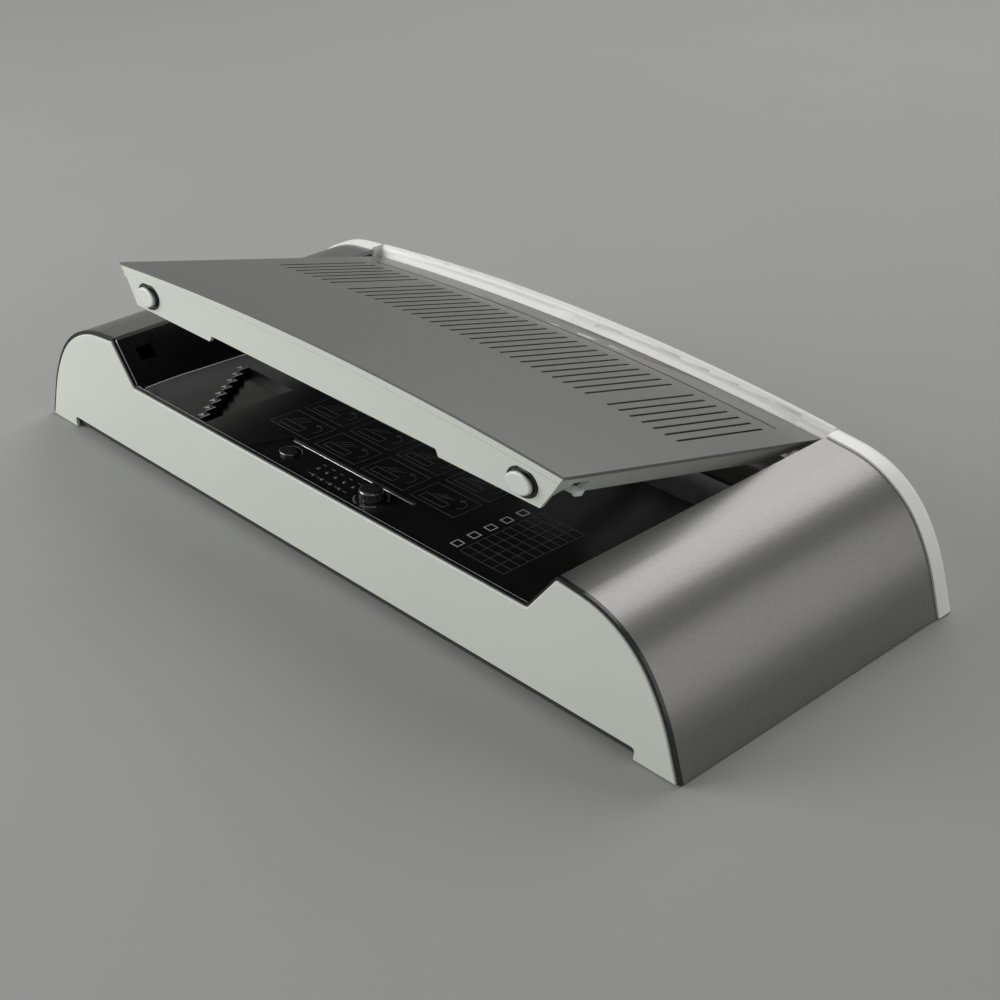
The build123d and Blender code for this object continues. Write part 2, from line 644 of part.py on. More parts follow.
def cheek(side):
    """Gloss black sloping wall between the tray deck and one tower, with its latch window."""
    wall = tray_outline() - dip(0.0, TRAY_UNDER_Z - 1)
    body = across(wall, PANEL_FRONT_Y, TRAY_WALL_REAR_Y)
    rear_top_z = HINGE_Z - KNUCKLE_RADIUS - 3 * HINGE_RUN_GAP
    body += across(wall, TRAY_WALL_REAR_Y, REAR_INNER_Y) & block(-FAR, FAR, 0, FAR, 0, rear_top_z)
    body = body & above_deck() & block(0, FAR, -FAR, FAR, 0, FAR)
    body -= latch_pocket()
    if side < 0:
        body = mirror(body, Plane.YZ)
    return body


def wall_top_z(y):
    """Top of the rear wall at depth y, just clear of the rim's back when the lid is turned right over."""
    turn = math.radians(LID_FURTHER_ANGLE)
    reach = KNUCKLE_RADIUS + HINGE_RUN_GAP
    return HINGE_Z - (reach - (y - HINGE_Y) * math.cos(turn)) / math.sin(turn)


def rear_shell():
    """Pale rear moulding: the rounded rim of each tower, the rear wall, its vents and the inlet opening."""
    outer = across(arch(0.0, GROUND_GAP), PANEL_REAR_Y, REAR_Y)
    above_floor = [e for e in outer.edges() if e.center().Z > GROUND_GAP + 1]
    rear_edges = [e for e in above_floor if abs(e.center().Y - REAR_Y) < 0.01]
    outer = fillet(rear_edges, REAR_ROUND)
    inner = across(arch(REAR_WALL, GROUND_GAP + REAR_WALL), PANEL_REAR_Y - 1, REAR_INNER_Y)
    body = outer - inner
    for side in (-1, 1):
        low = min(side * RIM_SPLIT_HALF, side * WEB_OUTER_HALF)
        body += outer & block(low, low + REAR_WALL, 0, REAR_Y, TUB_TOP_Z, FAR)
    inner_top_z = wall_top_z(REAR_INNER_Y)
    top_cut = Polyline(
        (PANEL_REAR_Y - 1, inner_top_z),
        (REAR_INNER_Y, inner_top_z),
        (REAR_Y + 1, wall_top_z(REAR_Y + 1)),
        (REAR_Y + 1, FAR),
        (PANEL_REAR_Y - 1, FAR),
        close=True,
    )
    body -= along(make_face(top_cut), -RIM_SPLIT_HALF, RIM_SPLIT_HALF)
    body -= cross_rod(-WEB_OUTER_HALF - 1, WEB_OUTER_HALF + 1, HINGE_Y, HINGE_Z, HINGE_PIN_RADIUS + 0.6)
    for row_z in REAR_VENT_ROWS:
        for column in range(REAR_VENT_COUNT):
            place = Pos(REAR_VENT_X + column * REAR_VENT_PITCH, row_z)
            vent = place * SlotOverall(REAR_VENT_LENGTH, REAR_VENT_HEIGHT)
            body -= across(vent, REAR_INNER_Y - 2, REAR_Y + 1)
    half = INLET_WIDTH / 2
    tall = INLET_HEIGHT / 2
    x_low = INLET_X - half
    x_high = INLET_X + half
    return body - block(x_low, x_high, REAR_INNER_Y - 1, REAR_Y + 1, INLET_Z - tall, INLET_Z + tall)


def mains_inlet():
    """Appliance inlet in the rear wall: a flanged socket body with three flat pins."""
    place = Pos(INLET_X, INLET_Z)
    outside = RectangleRounded(INLET_WIDTH - 2 * SEAM, INLET_HEIGHT - 2 * SEAM, 1.0)
    cavity = RectangleRounded(INLET_WIDTH - 5, INLET_HEIGHT - 5, 2.0)
    flange = RectangleRounded(INLET_WIDTH + 8, INLET_HEIGHT + 6, 2.0)
    body = across(place * outside, REAR_Y - INLET_DEPTH, REAR_Y - SEAM)
    body += across(place * flange, REAR_INNER_Y - 2, REAR_INNER_Y)
    body -= across(place * cavity, REAR_Y - INLET_DEPTH + 4, REAR_Y + 2)
    for dx, dz in ((-7, -2), (0, 2), (7, -2)):
        pin = Pos(INLET_X + dx, INLET_Z + dz) * Rectangle(2, 4)
        body += across(pin, REAR_Y - INLET_DEPTH + 3, REAR_Y - 5)
    return body


def heating_trough():
    """Folded aluminium trough that takes the spine of the document."""
    sheet = TROUGH_SHEET
    low = CHAMBER_FLOOR_Z - sheet
    profile = Polyline(
        (CHAMBER_FRONT_Y - sheet, TRAY_UNDER_Z),
        (CHAMBER_FRONT_Y - sheet, low),
        (CHAMBER_REAR_Y + sheet, low),
        (CHAMBER_REAR_Y + sheet, TRAY_UNDER_Z),
        (CHAMBER_REAR_Y, TRAY_UNDER_Z),
        (CHAMBER_REAR_Y, CHAMBER_FLOOR_Z),
        (CHAMBER_FRONT_Y, CHAMBER_FLOOR_Z),
        (CHAMBER_FRONT_Y, TRAY_UNDER_Z),
        close=True,
    )
    half = CHAMBER_LENGTH / 2
    body = along(make_face(profile), -half, half)
    for side in (-1, 1):
        inner = side * half
        outer = side * (half + sheet)
        body += block(min(inner, outer), max(inner, outer), CHAMBER_FRONT_Y - sheet, CHAMBER_REAR_Y + sheet,
                      low, TRAY_UNDER_Z)
    return body


def heating_element():
    """Flat heater strip clamped under the floor of the trough."""
    middle = (CHAMBER_FRONT_Y + CHAMBER_REAR_Y) / 2
    top = CHAMBER_FLOOR_Z - TROUGH_SHEET
    half = CHAMBER_LENGTH / 2 - ELEMENT_END_MARGIN
    wide = ELEMENT_WIDTH / 2
    return block(-half, half, middle - wide, middle + wide, top - ELEMENT_THICKNESS, top)


def trough_insulation():
    """Heat-proof channel under the trough, resting on the case floor."""
    low = TUB_FLOOR_Z + TUB_WALL
    top = CHAMBER_FLOOR_Z - TROUGH_SHEET - ELEMENT_THICKNESS
    middle = (CHAMBER_FRONT_Y + CHAMBER_REAR_Y) / 2
    half = CHAMBER_LENGTH / 2 + TROUGH_SHEET
    wide = CHAMBER_WIDTH / 2 + TROUGH_SHEET
    body = block(-half, half, middle - wide, middle + wide, low, top)
    inner = wide - INSULATION_THICKNESS
    body += block(-half, half, middle - wide, middle - inner, top, top + ELEMENT_THICKNESS)
    body += block(-half, half, middle + inner, middle + wide, top, top + ELEMENT_THICKNESS)
    for x in (-100, 0, 100):
        body -= block(x - 30, x + 30, middle - wide + 5, middle + wide - 5, low, top - 2)
    return body


def thermal_cutout():
    """Round cut-out switch clipped to the rear wall of the trough, with its two blade terminals."""
    y = CHAMBER_REAR_Y + TROUGH_SHEET
    z = CHAMBER_FLOOR_Z + CUTOUT_RISE
    back = y + CUTOUT_DEPTH
    body = across(Pos(CUTOUT_X, z) * Circle(CUTOUT_RADIUS), y, back)
    body += across(Pos(CUTOUT_X, z) * Rectangle(4 * CUTOUT_RADIUS, CUTOUT_RADIUS), y, y + 0.8)
    for side in (-1, 1):
        body += across(Pos(CUTOUT_X + side * CUTOUT_RADIUS / 2, z) * Rectangle(1.5, 4), back, back + 5)
    return body


def temperature_sensor():
    """Small sensor bead with its clip, on the front wall of the trough."""
    y = CHAMBER_FRONT_Y - TROUGH_SHEET
    place = Pos(SENSOR_X, CHAMBER_FLOOR_Z + SENSOR_RISE)
    body = across(place * Circle(SENSOR_RADIUS), y - 2 * SENSOR_RADIUS, y)
    return body + across(place * Rectangle(6 * SENSOR_RADIUS, 2.4 * SENSOR_RADIUS), y - 0.8, y)


def power_board():
    """Supply board on four stand-offs, with its transformer, relay and capacitor."""
    x_low = POWER_BOARD_X - POWER_BOARD_LENGTH / 2
    x_high = POWER_BOARD_X + POWER_BOARD_LENGTH / 2
    y_low = PANEL_FRONT_Y + POWER_BOARD_MARGIN
    y_high = y_low + POWER_BOARD_WIDTH
    low = TUB_FLOOR_Z + TUB_WALL
    under = low + POWER_BOARD_STANDOFF
    top = under + BOARD_THICKNESS
    board = block(x_low, x_high, y_low, y_high, under, top)
    for x in (x_low + 4, x_high - 4):
        for y in (y_low + 4, y_high - 4):
            board += post(x, y, low, under, 2.4)
    transformer = Pos(x_low + 20, y_low + 15) * Rectangle(20, 20)
    relay = Pos(x_low + 42, y_low + 14) * Rectangle(12, 14)
    board += upward(transformer, top, top + 13)
    board += upward(relay, top, top + 8)
    return board + post(x_low + 58, y_low + 15, top, top + 10, 5)


def control_panel():
    """Gloss overlay in the control recess, pierced for the button, the dial and the lamps."""
    face = control_outline(SEAM)
    face -= Pos(POWER_X, CONTROL_ROW_Y) * power_oval(CONTROL_GAP)
    face -= Pos(DIAL_X, CONTROL_ROW_Y) * Circle(DIAL_SHAFT_RADIUS + CONTROL_GAP)
    for x, y in lens_places():
        face -= Pos(x, y) * Circle(LENS_RADIUS + SEAM / 2)
    return upward(face, CONTROL_BASE_Z, CONTROL_TOP_Z)


def lens_places():
    """Centres of the indicator lamps, two rows between the button and the dial."""
    places = []
    for row, count in enumerate(LENS_COUNTS):
        y = CONTROL_ROW_Y + LENS_ROW_OFFSET - (1 - row) * LENS_ROW_GAP
        for index in range(count):
            places.append(((index - (count - 1) / 2) * LENS_PITCH - 0.5, y))
    return places


def indicator_lenses():
    """The lamp lenses, each a small domed pin in the overlay."""
    base = CONTROL_BASE_Z
    lenses = []
    for x, y in lens_places():
        lens = post(x, y, base, CONTROL_TOP_Z + 0.4, LENS_RADIUS)
        lenses.append(chamfer(lens.edges().group_by(Axis.Z)[-1], 0.3))
    return Compound(children=lenses)


def power_button():
    """Oval push button with a plunger through the recess floor."""
    cap = Pos(POWER_X, CONTROL_ROW_Y) * power_oval(0.0)
    base = CONTROL_BASE_Z + POWER_TRAVEL + 0.15
    top = CONTROL_TOP_Z + POWER_PROUD
    body = upward(cap, base, top)
    body = fillet(body.edges().group_by(Axis.Z)[-1], 0.9)
    plunger_low = BOARD_TOP_Z + SWITCH_HEIGHT + 0.6 + POWER_TRAVEL
    return body + post(POWER_X, CONTROL_ROW_Y, plunger_low, base + 0.5, POWER_END_RADIUS - 1.0)


def selector_dial():
    """Turning knob with a pointer rib and a shaft into its encoder."""
    base = CONTROL_TOP_Z + 0.3
    knob = post(DIAL_X, CONTROL_ROW_Y, base, base + DIAL_HEIGHT, DIAL_RADIUS)
    knob = fillet(knob.edges().group_by(Axis.Z)[-1], 1.4)
    for index in range(DIAL_NOTCHES):
        spoke = Pos(DIAL_X, CONTROL_ROW_Y) * Rot(0, 0, index * 360 / DIAL_NOTCHES)
        notch = spoke * Pos(DIAL_RADIUS + DIAL_NOTCH_RADIUS * 0.6, 0) * Circle(DIAL_NOTCH_RADIUS)
        knob -= upward(notch, base - 1, base + DIAL_HEIGHT - 1.6)
    pointer = Pos(DIAL_X, CONTROL_ROW_Y) * Pos(0, DIAL_RADIUS / 2) * Rectangle(1.2, DIAL_RADIUS - 1.6)
    knob -= upward(pointer, base + DIAL_HEIGHT - 0.5, base + DIAL_HEIGHT + 1)
    return knob + post(DIAL_X, CONTROL_ROW_Y, BOARD_TOP_Z + 0.6, base + 0.5, DIAL_SHAFT_RADIUS)


def control_board():
    """Circuit board under the control recess, hung from it on four pillars."""
    x_low = POWER_X - 14
    x_high = DIAL_X + 16
    y_low = CONTROL_FRONT_Y + 3
    y_high = CONTROL_REAR_Y - 2
    low = BOARD_TOP_Z - BOARD_THICKNESS
    board = block(x_low, x_high, y_low, y_high, low, BOARD_TOP_Z)
    for x in (x_low + 3, x_high - 3):
        for y in (y_low + 3, y_high - 3):
            board += post(x, y, BOARD_TOP_Z, CONTROL_BASE_Z - POCKET_WALL, 2.0)
    return board - post(DIAL_X, CONTROL_ROW_Y, low - 1, BOARD_TOP_Z + 1, DIAL_SHAFT_RADIUS + CONTROL_GAP)


def power_switch():
    """Tactile switch on the board, under the power button."""
    top = BOARD_TOP_Z + SWITCH_HEIGHT
    body = upward(Pos(POWER_X, CONTROL_ROW_Y) * Rectangle(SWITCH_SIZE, SWITCH_SIZE), BOARD_TOP_Z, top)
    return body + post(POWER_X, CONTROL_ROW_Y, top, top + 0.4, 1.6)


def selector_encoder():
    """Encoder body on the board, bored for the dial's shaft."""
    high = CONTROL_BASE_Z - POCKET_WALL - 0.4
    body = upward(Pos(DIAL_X, CONTROL_ROW_Y) * Rectangle(ENCODER_SIZE, ENCODER_SIZE), BOARD_TOP_Z, high)
    return body - post(DIAL_X, CONTROL_ROW_Y, 0, high + 1, DIAL_SHAFT_RADIUS + PIN_CLEARANCE)


def hinge_bracket(side):
    """Metal plate on the inside of the tower's end web, bored for one hinge pin."""
    x_low = WEB_OUTER_HALF
    x_high = x_low + HINGE_BRACKET_THICKNESS
    half = HINGE_BRACKET_RADIUS
    body = cross_rod(x_low, x_high, HINGE_Y, HINGE_Z, half)
    body += block(x_low, x_high, HINGE_Y - half, HINGE_Y + half, HINGE_Z - HINGE_BRACKET_DROP, HINGE_Z)
    body -= cross_rod(x_low - 1, x_high + 1, HINGE_Y, HINGE_Z, HINGE_PIN_RADIUS + PIN_CLEARANCE)
    if side < 0:
        body = mirror(body, Plane.YZ)
    return body


def rubber_feet():
    """Four feet under the case floor."""
    feet = []
    for x in (-FOOT_X, FOOT_X):
        for y in (-FOOT_Y, FOOT_Y):
            foot = post(x, y, 0, TUB_FLOOR_Z, FOOT_RADIUS)
            feet.append(chamfer(foot.edges().group_by(Axis.Z)[0], 0.6))
    return Compound(children=feet)


def base_screws():
    """Pan-head screws under the tray posts."""
    low = TUB_FLOOR_Z - SCREW_HEAD_HEIGHT
    places = [(x, y) for x in POST_X for y in POST_Y]
    return Compound(children=[post(x, y, low, TUB_FLOOR_Z, SCREW_HEAD_RADIUS) for x, y in places])


def lid_arc(lift, half):
    """The crowned line across the lid, lifted and drawn to a half width, as three points."""
    rise = LID_CROWN + LID_EDGE_Z + lift
    radius = (LID_HALF ** 2 + LID_CROWN ** 2) / (2 * LID_CROWN)
    drop = radius - math.sqrt(radius ** 2 - half ** 2)
    return (-half, rise - drop), (0, rise), (half, rise - drop)


def crown_band(top_lift, bottom_lift, half):
    """A band under the lid's crown, between two lifts."""
    top = lid_arc(top_lift, half)
    bottom = lid_arc(bottom_lift, half)
    lines = [
        ThreePointArc(*top),
        Line(top[2], bottom[2]),
        ThreePointArc(*reversed(bottom)),
        Line(bottom[0], top[0]),
    ]
    return make_face(Wire(lines))


def under_crown(half, bottom_z, lift):
    """Everything between a level and the underside of the crown."""
    top = lid_arc(lift, half)
    lines = [
        ThreePointArc(*top),
        Line(top[2], (half, bottom_z)),
        Line((half, bottom_z), (-half, bottom_z)),
        Line((-half, bottom_z), top[0]),
    ]
    return make_face(Wire(lines))


def slot_places():
    """Centres of the louvre slots: an even row with two places left blank."""
    first = -(SLOT_PLACES - 1) / 2 * SLOT_PITCH
    blanks = (SLOT_BLANK_PLACE, SLOT_PLACES - 1 - SLOT_BLANK_PLACE)
    return [first + index * SLOT_PITCH for index in range(SLOT_PLACES) if index not in blanks]


def lid_panel():
    """Painted sheet-metal lid top: crowned, with down-turned sides, louvre slots and a pressed crease."""
    body = across(crown_band(0.0, -LID_SHEET, LID_HALF), LID_FRONT_Y - LID_CROWN, HINGE_Y)
    for side in (-1, 1):
        low = min(side * LID_HALF, side * (LID_HALF - LID_SHEET))
        body += block(low, low + LID_SHEET, LID_FACE_BACK_Y + SEAM, HINGE_Y - HINGE_BOSS_RADIUS,
                      LID_EDGE_Z - LID_LIP_HEIGHT, LID_EDGE_Z - LID_SHEET / 2)
    ahead = block(-FAR, FAR, -FAR, LID_FRONT_Y, -FAR, FAR)
    body -= face_plane() * ahead
    middle = (SLOT_REAR_Y + SLOT_FRONT_Y) / 2
    slot = SlotOverall(SLOT_REAR_Y - SLOT_FRONT_Y, SLOT_WIDTH, rotation=90)
    body -= [upward(Pos(x, middle) * slot, LID_EDGE_Z - LID_SHEET, FAR / 4) for x in slot_places()]
    crease = crown_band(1.0, -CREASE_DEPTH, CREASE_HALF)
    return body - across(crease, CREASE_Y - CREASE_WIDTH / 2, CREASE_Y + CREASE_WIDTH / 2)


def face_plane():
    """Turn that rakes the lid's upright front face back about its top edge."""
    top = Pos(0, LID_FRONT_Y, LID_EDGE_Z)
    return top * Rot(LID_FACE_RAKE, 0, 0) * top.inverse()


def lid_face():
    """The raked front face with its bezel step, finger notch and button holes, drawn upright then raked."""
    outline = under_crown(LID_HALF, LID_FACE_BOTTOM_Z, 0.0)
    for side in (-1, 1):
        wedge = Polyline(
            (side * LID_HALF, LID_EDGE_Z),
            (side * LID_FACE_FOOT_HALF, LID_FACE_BOTTOM_Z),
            (side * LID_FACE_FOOT_HALF, LID_FACE_BOTTOM_Z - 5),
            (side * (LID_HALF + 5), LID_FACE_BOTTOM_Z - 5),
            (side * (LID_HALF + 5), LID_EDGE_Z),
            close=True,
        )
        outline -= make_face(wedge)
    notch = Polyline(
        (-LID_NOTCH_HALF - 2, LID_FACE_BOTTOM_Z),
        (-LID_NOTCH_HALF, LID_FACE_BOTTOM_Z + LID_NOTCH_HEIGHT),
        (LID_NOTCH_HALF, LID_FACE_BOTTOM_Z + LID_NOTCH_HEIGHT),
        (LID_NOTCH_HALF + 2, LID_FACE_BOTTOM_Z),
        close=True,
    )
    outline -= make_face(notch)
    front = LID_FRONT_Y + LID_BEZEL_STEP
    wall = across(outline, front, LID_FACE_BACK_Y)
    wall += across(outline & crown_band(0.0, -LID_BEZEL_HEIGHT, LID_HALF), LID_FRONT_Y, front)
    groove = crown_band(-LID_GROOVE_DROP, -LID_GROOVE_DROP - LID_GROOVE_WIDTH, LID_HALF)
    wall -= across(groove, LID_FRONT_Y - 1, LID_FRONT_Y + LID_BEZEL_STEP / 2)
    wall = face_plane() * wall
    for side in (-1, 1):
        wall -= button_hole(side)
    return wall - across(crown_band(5.0, -LID_SHEET, FAR / 2), -FAR, FAR)


def button_hole(side):
    """Oval hole for a release button, with a bevel round its front edge."""
    depth = LID_FACE_THICKNESS + 2 * LID_BEZEL_STEP
    hole = Pos(0, 0, -depth) * extrude(button_oval(BUTTON_GAP), amount=2 * depth)
    mouth = Plane.XY * button_oval(BUTTON_GAP + BUTTON_HOLE_BEVEL)
    throat = Plane.XY.offset(-BUTTON_HOLE_BEVEL) * button_oval(BUTTON_GAP)
    tool = button_axis() * (hole + loft([throat.face(), mouth.face()]))
    if side < 0:
        tool = mirror(tool, Plane.YZ)
    return tool


def lid_side_outer(z):
    """Half width of the lid's sloping side wall at height z."""
    return LID_SIDE_TOP_HALF - (LID_SIDE_TOP_Z - z) * DIP_SLOPE


def lid_side_wall():
    """Right-hand side wall of the lid with the latch window and the hinge ear."""
    low = LID_SIDE_BOTTOM_Z
    high = LID_SIDE_TOP_Z
    section = Polyline(
        (lid_side_outer(low), low),
        (lid_side_outer(high), high),
        (lid_side_outer(high) - LID_SIDE_ACROSS, high),
        (lid_side_outer(low) - LID_SIDE_ACROSS, low),
        close=True,
    )
    wall = across(make_face(section), LID_FRONT_Y, HINGE_Y)
    ear_under = HINGE_Z - HINGE_BOSS_RADIUS
    rear_cut = Polyline(
        (HINGE_Y - 34, low - 1),
        (HINGE_Y - 12, ear_under),
        (HINGE_Y + 20, ear_under),
        (HINGE_Y + 20, low - 1),
        close=True,
    )
    wall -= along(make_face(rear_cut), 0, FAR)
    wall -= face_plane() * block(0, FAR, -FAR, LID_FACE_BACK_Y - 0.3, -FAR, FAR)
    window_top = LATCH_PIVOT_Z - LATCH_PLATE_HALF / 2 - LATCH_SIDE_GAP
    window_ahead = LATCH_PIVOT_Y - LATCH_PLATE_THICKNESS
    window_behind = LATCH_PIVOT_Y + 2 * KEEPER_BEHIND
    window = Polyline(
        (window_ahead - LATCH_PLATE_HALF, low - 1),
        (window_ahead, window_top),
        (window_behind, window_top),
        (window_behind, low - 1),
        close=True,
    )
    wall -= along(make_face(window), 0, FAR)
    ear_high = dip_half(ear_under) - HINGE_EAR_GAP
    ear_low = ear_high - HINGE_EAR_WIDTH
    wall += cross_rod(ear_low, ear_high, HINGE_Y, HINGE_Z, HINGE_BOSS_RADIUS)
    wall += block(ear_low, ear_high, LINER_REAR_Y + SEAM, HINGE_Y, ear_under, HINGE_Z + HINGE_BOSS_RADIUS)
    wall -= block(0, FAR, HINGE_Y, FAR, 0, FAR) - cross_rod(0, FAR, HINGE_Y, HINGE_Z, HINGE_BOSS_RADIUS)
    wall -= across(crown_band(5.0, -LID_SHEET, FAR / 2), -FAR, FAR)
    return wall - cross_rod(0, FAR, HINGE_Y, HINGE_Z, HINGE_PIN_RADIUS)


def lid_frame():
    """Pale lid moulding under the sheet: raked face, two side walls with hinge ears."""
    wall = lid_side_wall()
    return lid_face() + wall + mirror(wall, Plane.YZ)


def lid_liner():
    """Black inner lining of the lid: a thin web with cross ribs and openings under the louvres."""
    top_z = LID_LINER_Z + LID_LINER_THICKNESS
    half = lid_side_outer(LID_LINER_Z) - LID_SIDE_ACROSS - SEAM
    front = LID_FACE_BACK_Y + (LID_EDGE_Z - LID_LINER_Z) * LID_RAKE_RUN + SEAM
    rib_front = LATCH_PIVOT_Y + 2 * LATCH_PLATE_HALF
    body = block(-half, half, front, LINER_REAR_Y, LID_LINER_Z, top_z)
    window_length = SLOT_LENGTH - 2.5 * LINER_WINDOW_MARGIN
    middle = (SLOT_FRONT_Y + SLOT_REAR_Y) / 2
    for index in range(LINER_WINDOWS):
        place = Pos((index - (LINER_WINDOWS - 1) / 2) * LINER_WINDOW_PITCH, middle)
        body -= upward(place * Rectangle(LINER_WINDOW_WIDTH, window_length), LID_LINER_Z - 1, top_z + 1)
    under_sheet = across(under_crown(half, LID_LINER_Z, -LID_SHEET), rib_front, LINER_REAR_Y)
    drop = 2 * LID_LINER_THICKNESS
    for index in range(LINER_WINDOWS + 1):
        x = (index - LINER_WINDOWS / 2) * LINER_WINDOW_PITCH
        low = x - LINER_RIB / 2
        high = x + LINER_RIB / 2
        body += block(low, high, rib_front, LINER_REAR_Y, LID_LINER_Z - drop, LID_LINER_Z)
        body += block(low, high, rib_front, LINER_REAR_Y, LID_LINER_Z, FAR / 4) & under_sheet
    for side in (-1, 1):
        body -= latch_gate(side)
        body -= button_relief(side)
        for item in latch_cheeks(side):
            body += item
    return body - cross_rod(-FAR, FAR, LATCH_PIVOT_Y, LATCH_PIVOT_Z, LATCH_PIN_RADIUS)


def button_relief(side):
    """Room behind the lid's face for the whole travel of a release button's flange."""
    room = 2 * BUTTON_FLANGE_GAP
    depth = button_inner_depth() + BUTTON_FLANGE + BUTTON_TRAVEL + room
    tool = Pos(0, 0, -depth) * extrude(button_oval(BUTTON_FLANGE_LAP + room), amount=depth)
    tool = button_axis() * tool
    if side < 0:
        tool = mirror(tool, Plane.YZ)
    return tool


def latch_gate(side):
    """Opening in the lining through which a latch plate hangs."""
    middle = side * BUTTON_X
    half = LATCH_PLATE_HALF + LATCH_SIDE_GAP
    front = LATCH_PIVOT_Y - KEEPER_AHEAD
    rear = LATCH_PIVOT_Y + KEEPER_AHEAD
    return block(middle - half, middle + half, front, rear, LID_LINER_Z - 1, LID_EDGE_Z)


def latch_cheeks(side):
    """The two upstands that hold a latch's cross pin."""
    middle = side * BUTTON_X
    inner = LATCH_PLATE_HALF + LATCH_SIDE_GAP
    top = LATCH_PIVOT_Z + LATCH_PIN_RADIUS + 0.9
    front = LATCH_PIVOT_Y - LATCH_CHEEK
    rear = LATCH_PIVOT_Y + LATCH_CHEEK
    lows = (middle - inner - LATCH_CHEEK, middle + inner)
    return [block(x, x + LATCH_CHEEK, front, rear, LID_LINER_Z, top) for x in lows]


def bow(start, end, sag):
    """An arc from start to end that stands sag to the left of the straight line between them."""
    run = (end[0] - start[0], end[1] - start[1])
    share = sag / math.hypot(*run)
    middle = ((start[0] + end[0]) / 2 - run[1] * share, (start[1] + end[1]) / 2 + run[0] * share)
    return ThreePointArc(start, middle, end)


def rim_section():
    """Side view of the rear rim at its middle: upswept front, rounded crest and upright back."""
    turn = math.radians(LID_OPEN_ANGLE)
    height = LID_EDGE_Z + LID_CROWN - HINGE_Z
    foot = (HINGE_Y + height * math.sin(turn), HINGE_Z + height * math.cos(turn))
    ahead = (foot[0] - 4 * math.cos(turn), foot[1] + 4 * math.sin(turn))
    shoulder = (RIM_SHOULDER_Y, RIM_SHOULDER_Z)
    crest = (RIM_CREST_Y, RIM_CREST_Z)
    back = (REAR_Y, RIM_CREST_Z - RIM_BACK_ROUND)
    low = HINGE_Z - 2 * KNUCKLE_RADIUS
    lines = [
        Line(ahead, foot),
        bow(foot, shoulder, -0.4),
        bow(shoulder, crest, 0.5),
        bow(crest, back, 1.4),
        Line(back, (REAR_Y, low)),
        Line((REAR_Y, low), (ahead[0], low)),
        Line((ahead[0], low), ahead),
    ]
    return make_face(Wire(lines))


def swept_rim(section):
    """Turn a rim section about the long crown radius, so that its ends meet the tower rims."""
    end_drop = RIM_CREST_Z - BODY_HEIGHT + CROWN_RADIUS - math.sqrt(CROWN_RADIUS ** 2 - RIM_HALF ** 2)
    radius = (RIM_HALF ** 2 + end_drop ** 2) / (2 * end_drop)
    sweep = 2 * math.degrees(math.asin(RIM_HALF / radius)) + 1
    axis = Axis((0, 0, RIM_CREST_Z - radius), (0, 1, 0))
    plane = Plane(origin=(0, 0, 0), x_dir=(0, 1, 0), z_dir=(1, 0, 0))
    body = revolve(plane * section, axis=axis, revolution_arc=sweep)
    return body.rotate(axis, -sweep / 2)


def knuckle(half, low_z):
    """Round apron concentric with the hinge line, from the rim's back down to low_z."""
    shell = cross_rod(-half, half, HINGE_Y, HINGE_Z, KNUCKLE_RADIUS)
    shell -= cross_rod(-half, half, HINGE_Y, HINGE_Z, KNUCKLE_RADIUS - RIM_SKIN)
    return shell & block(-half, half, HINGE_Y - 2, REAR_Y + 1, low_z, HINGE_Z)


def lid_rear_rim():
    """Pale rim along the rear of the lid, in line with the tower rims, with the hinge apron under it."""
    section = rim_section()
    front = HINGE_Y + PIN_CLEARANCE
    outer_room = opened(block(-FAR, FAR, front, FAR, -FAR, FAR))
    outer_room &= block(-RIM_HALF, RIM_HALF, 0, FAR, HINGE_Z, FAR)
    inner_half = RIM_HALF - RIM_SKIN
    inner_room = opened(block(-FAR, FAR, front + RIM_SKIN, FAR, -FAR, FAR))
    inner_room &= block(-inner_half, inner_half, 0, FAR, 0, FAR)
    body = swept_rim(section) & outer_room
    body -= swept_rim(offset(section, -RIM_SKIN)) & inner_room
    body += knuckle(KNUCKLE_HALF, 0)
    body += knuckle(RIM_HALF, HINGE_Z - KNUCKLE_SECTOR_DROP)
    tongue = crown_band(-LID_SHEET, -LID_SHEET - RIM_SKIN, TONGUE_HALF)
    body += opened(across(tongue, HINGE_Y - TONGUE_DEPTH, front + RIM_SKIN))
    for side in (-1, 1):
        low = min(side * KNUCKLE_HALF, side * (RIM_HALF + 1))
        high = max(side * KNUCKLE_HALF, side * (RIM_HALF + 1))
        body -= cross_rod(low, high, HINGE_Y, HINGE_Z, HINGE_BOSS_RADIUS + HINGE_RUN_GAP)
    return body


def hinge_pins():
    """Two steel pins, pressed into the lid's ears and turning in the tower brackets."""
    inner = dip_half(HINGE_Z - HINGE_BOSS_RADIUS) - HINGE_EAR_GAP - HINGE_EAR_WIDTH
    outer = WEB_OUTER_HALF + HINGE_BRACKET_THICKNESS
    pin = cross_rod(inner, outer, HINGE_Y, HINGE_Z, HINGE_PIN_RADIUS)
    return Compound(children=[pin, mirror(pin, Plane.YZ)])


def button_axis():
    """Place at the middle of the right button hole, looking out along the raked face's normal."""
    upright = Pos(BUTTON_X, LID_FRONT_Y + LID_BEZEL_STEP, LID_FACE_BOTTOM_Z + BUTTON_RISE) * Rot(90, 0, 0)
    return face_plane() * upright


def button_inner_depth():
    """Depth of a release button's flange behind the face's front."""
    return LID_FACE_THICKNESS + BUTTON_FLANGE_GAP


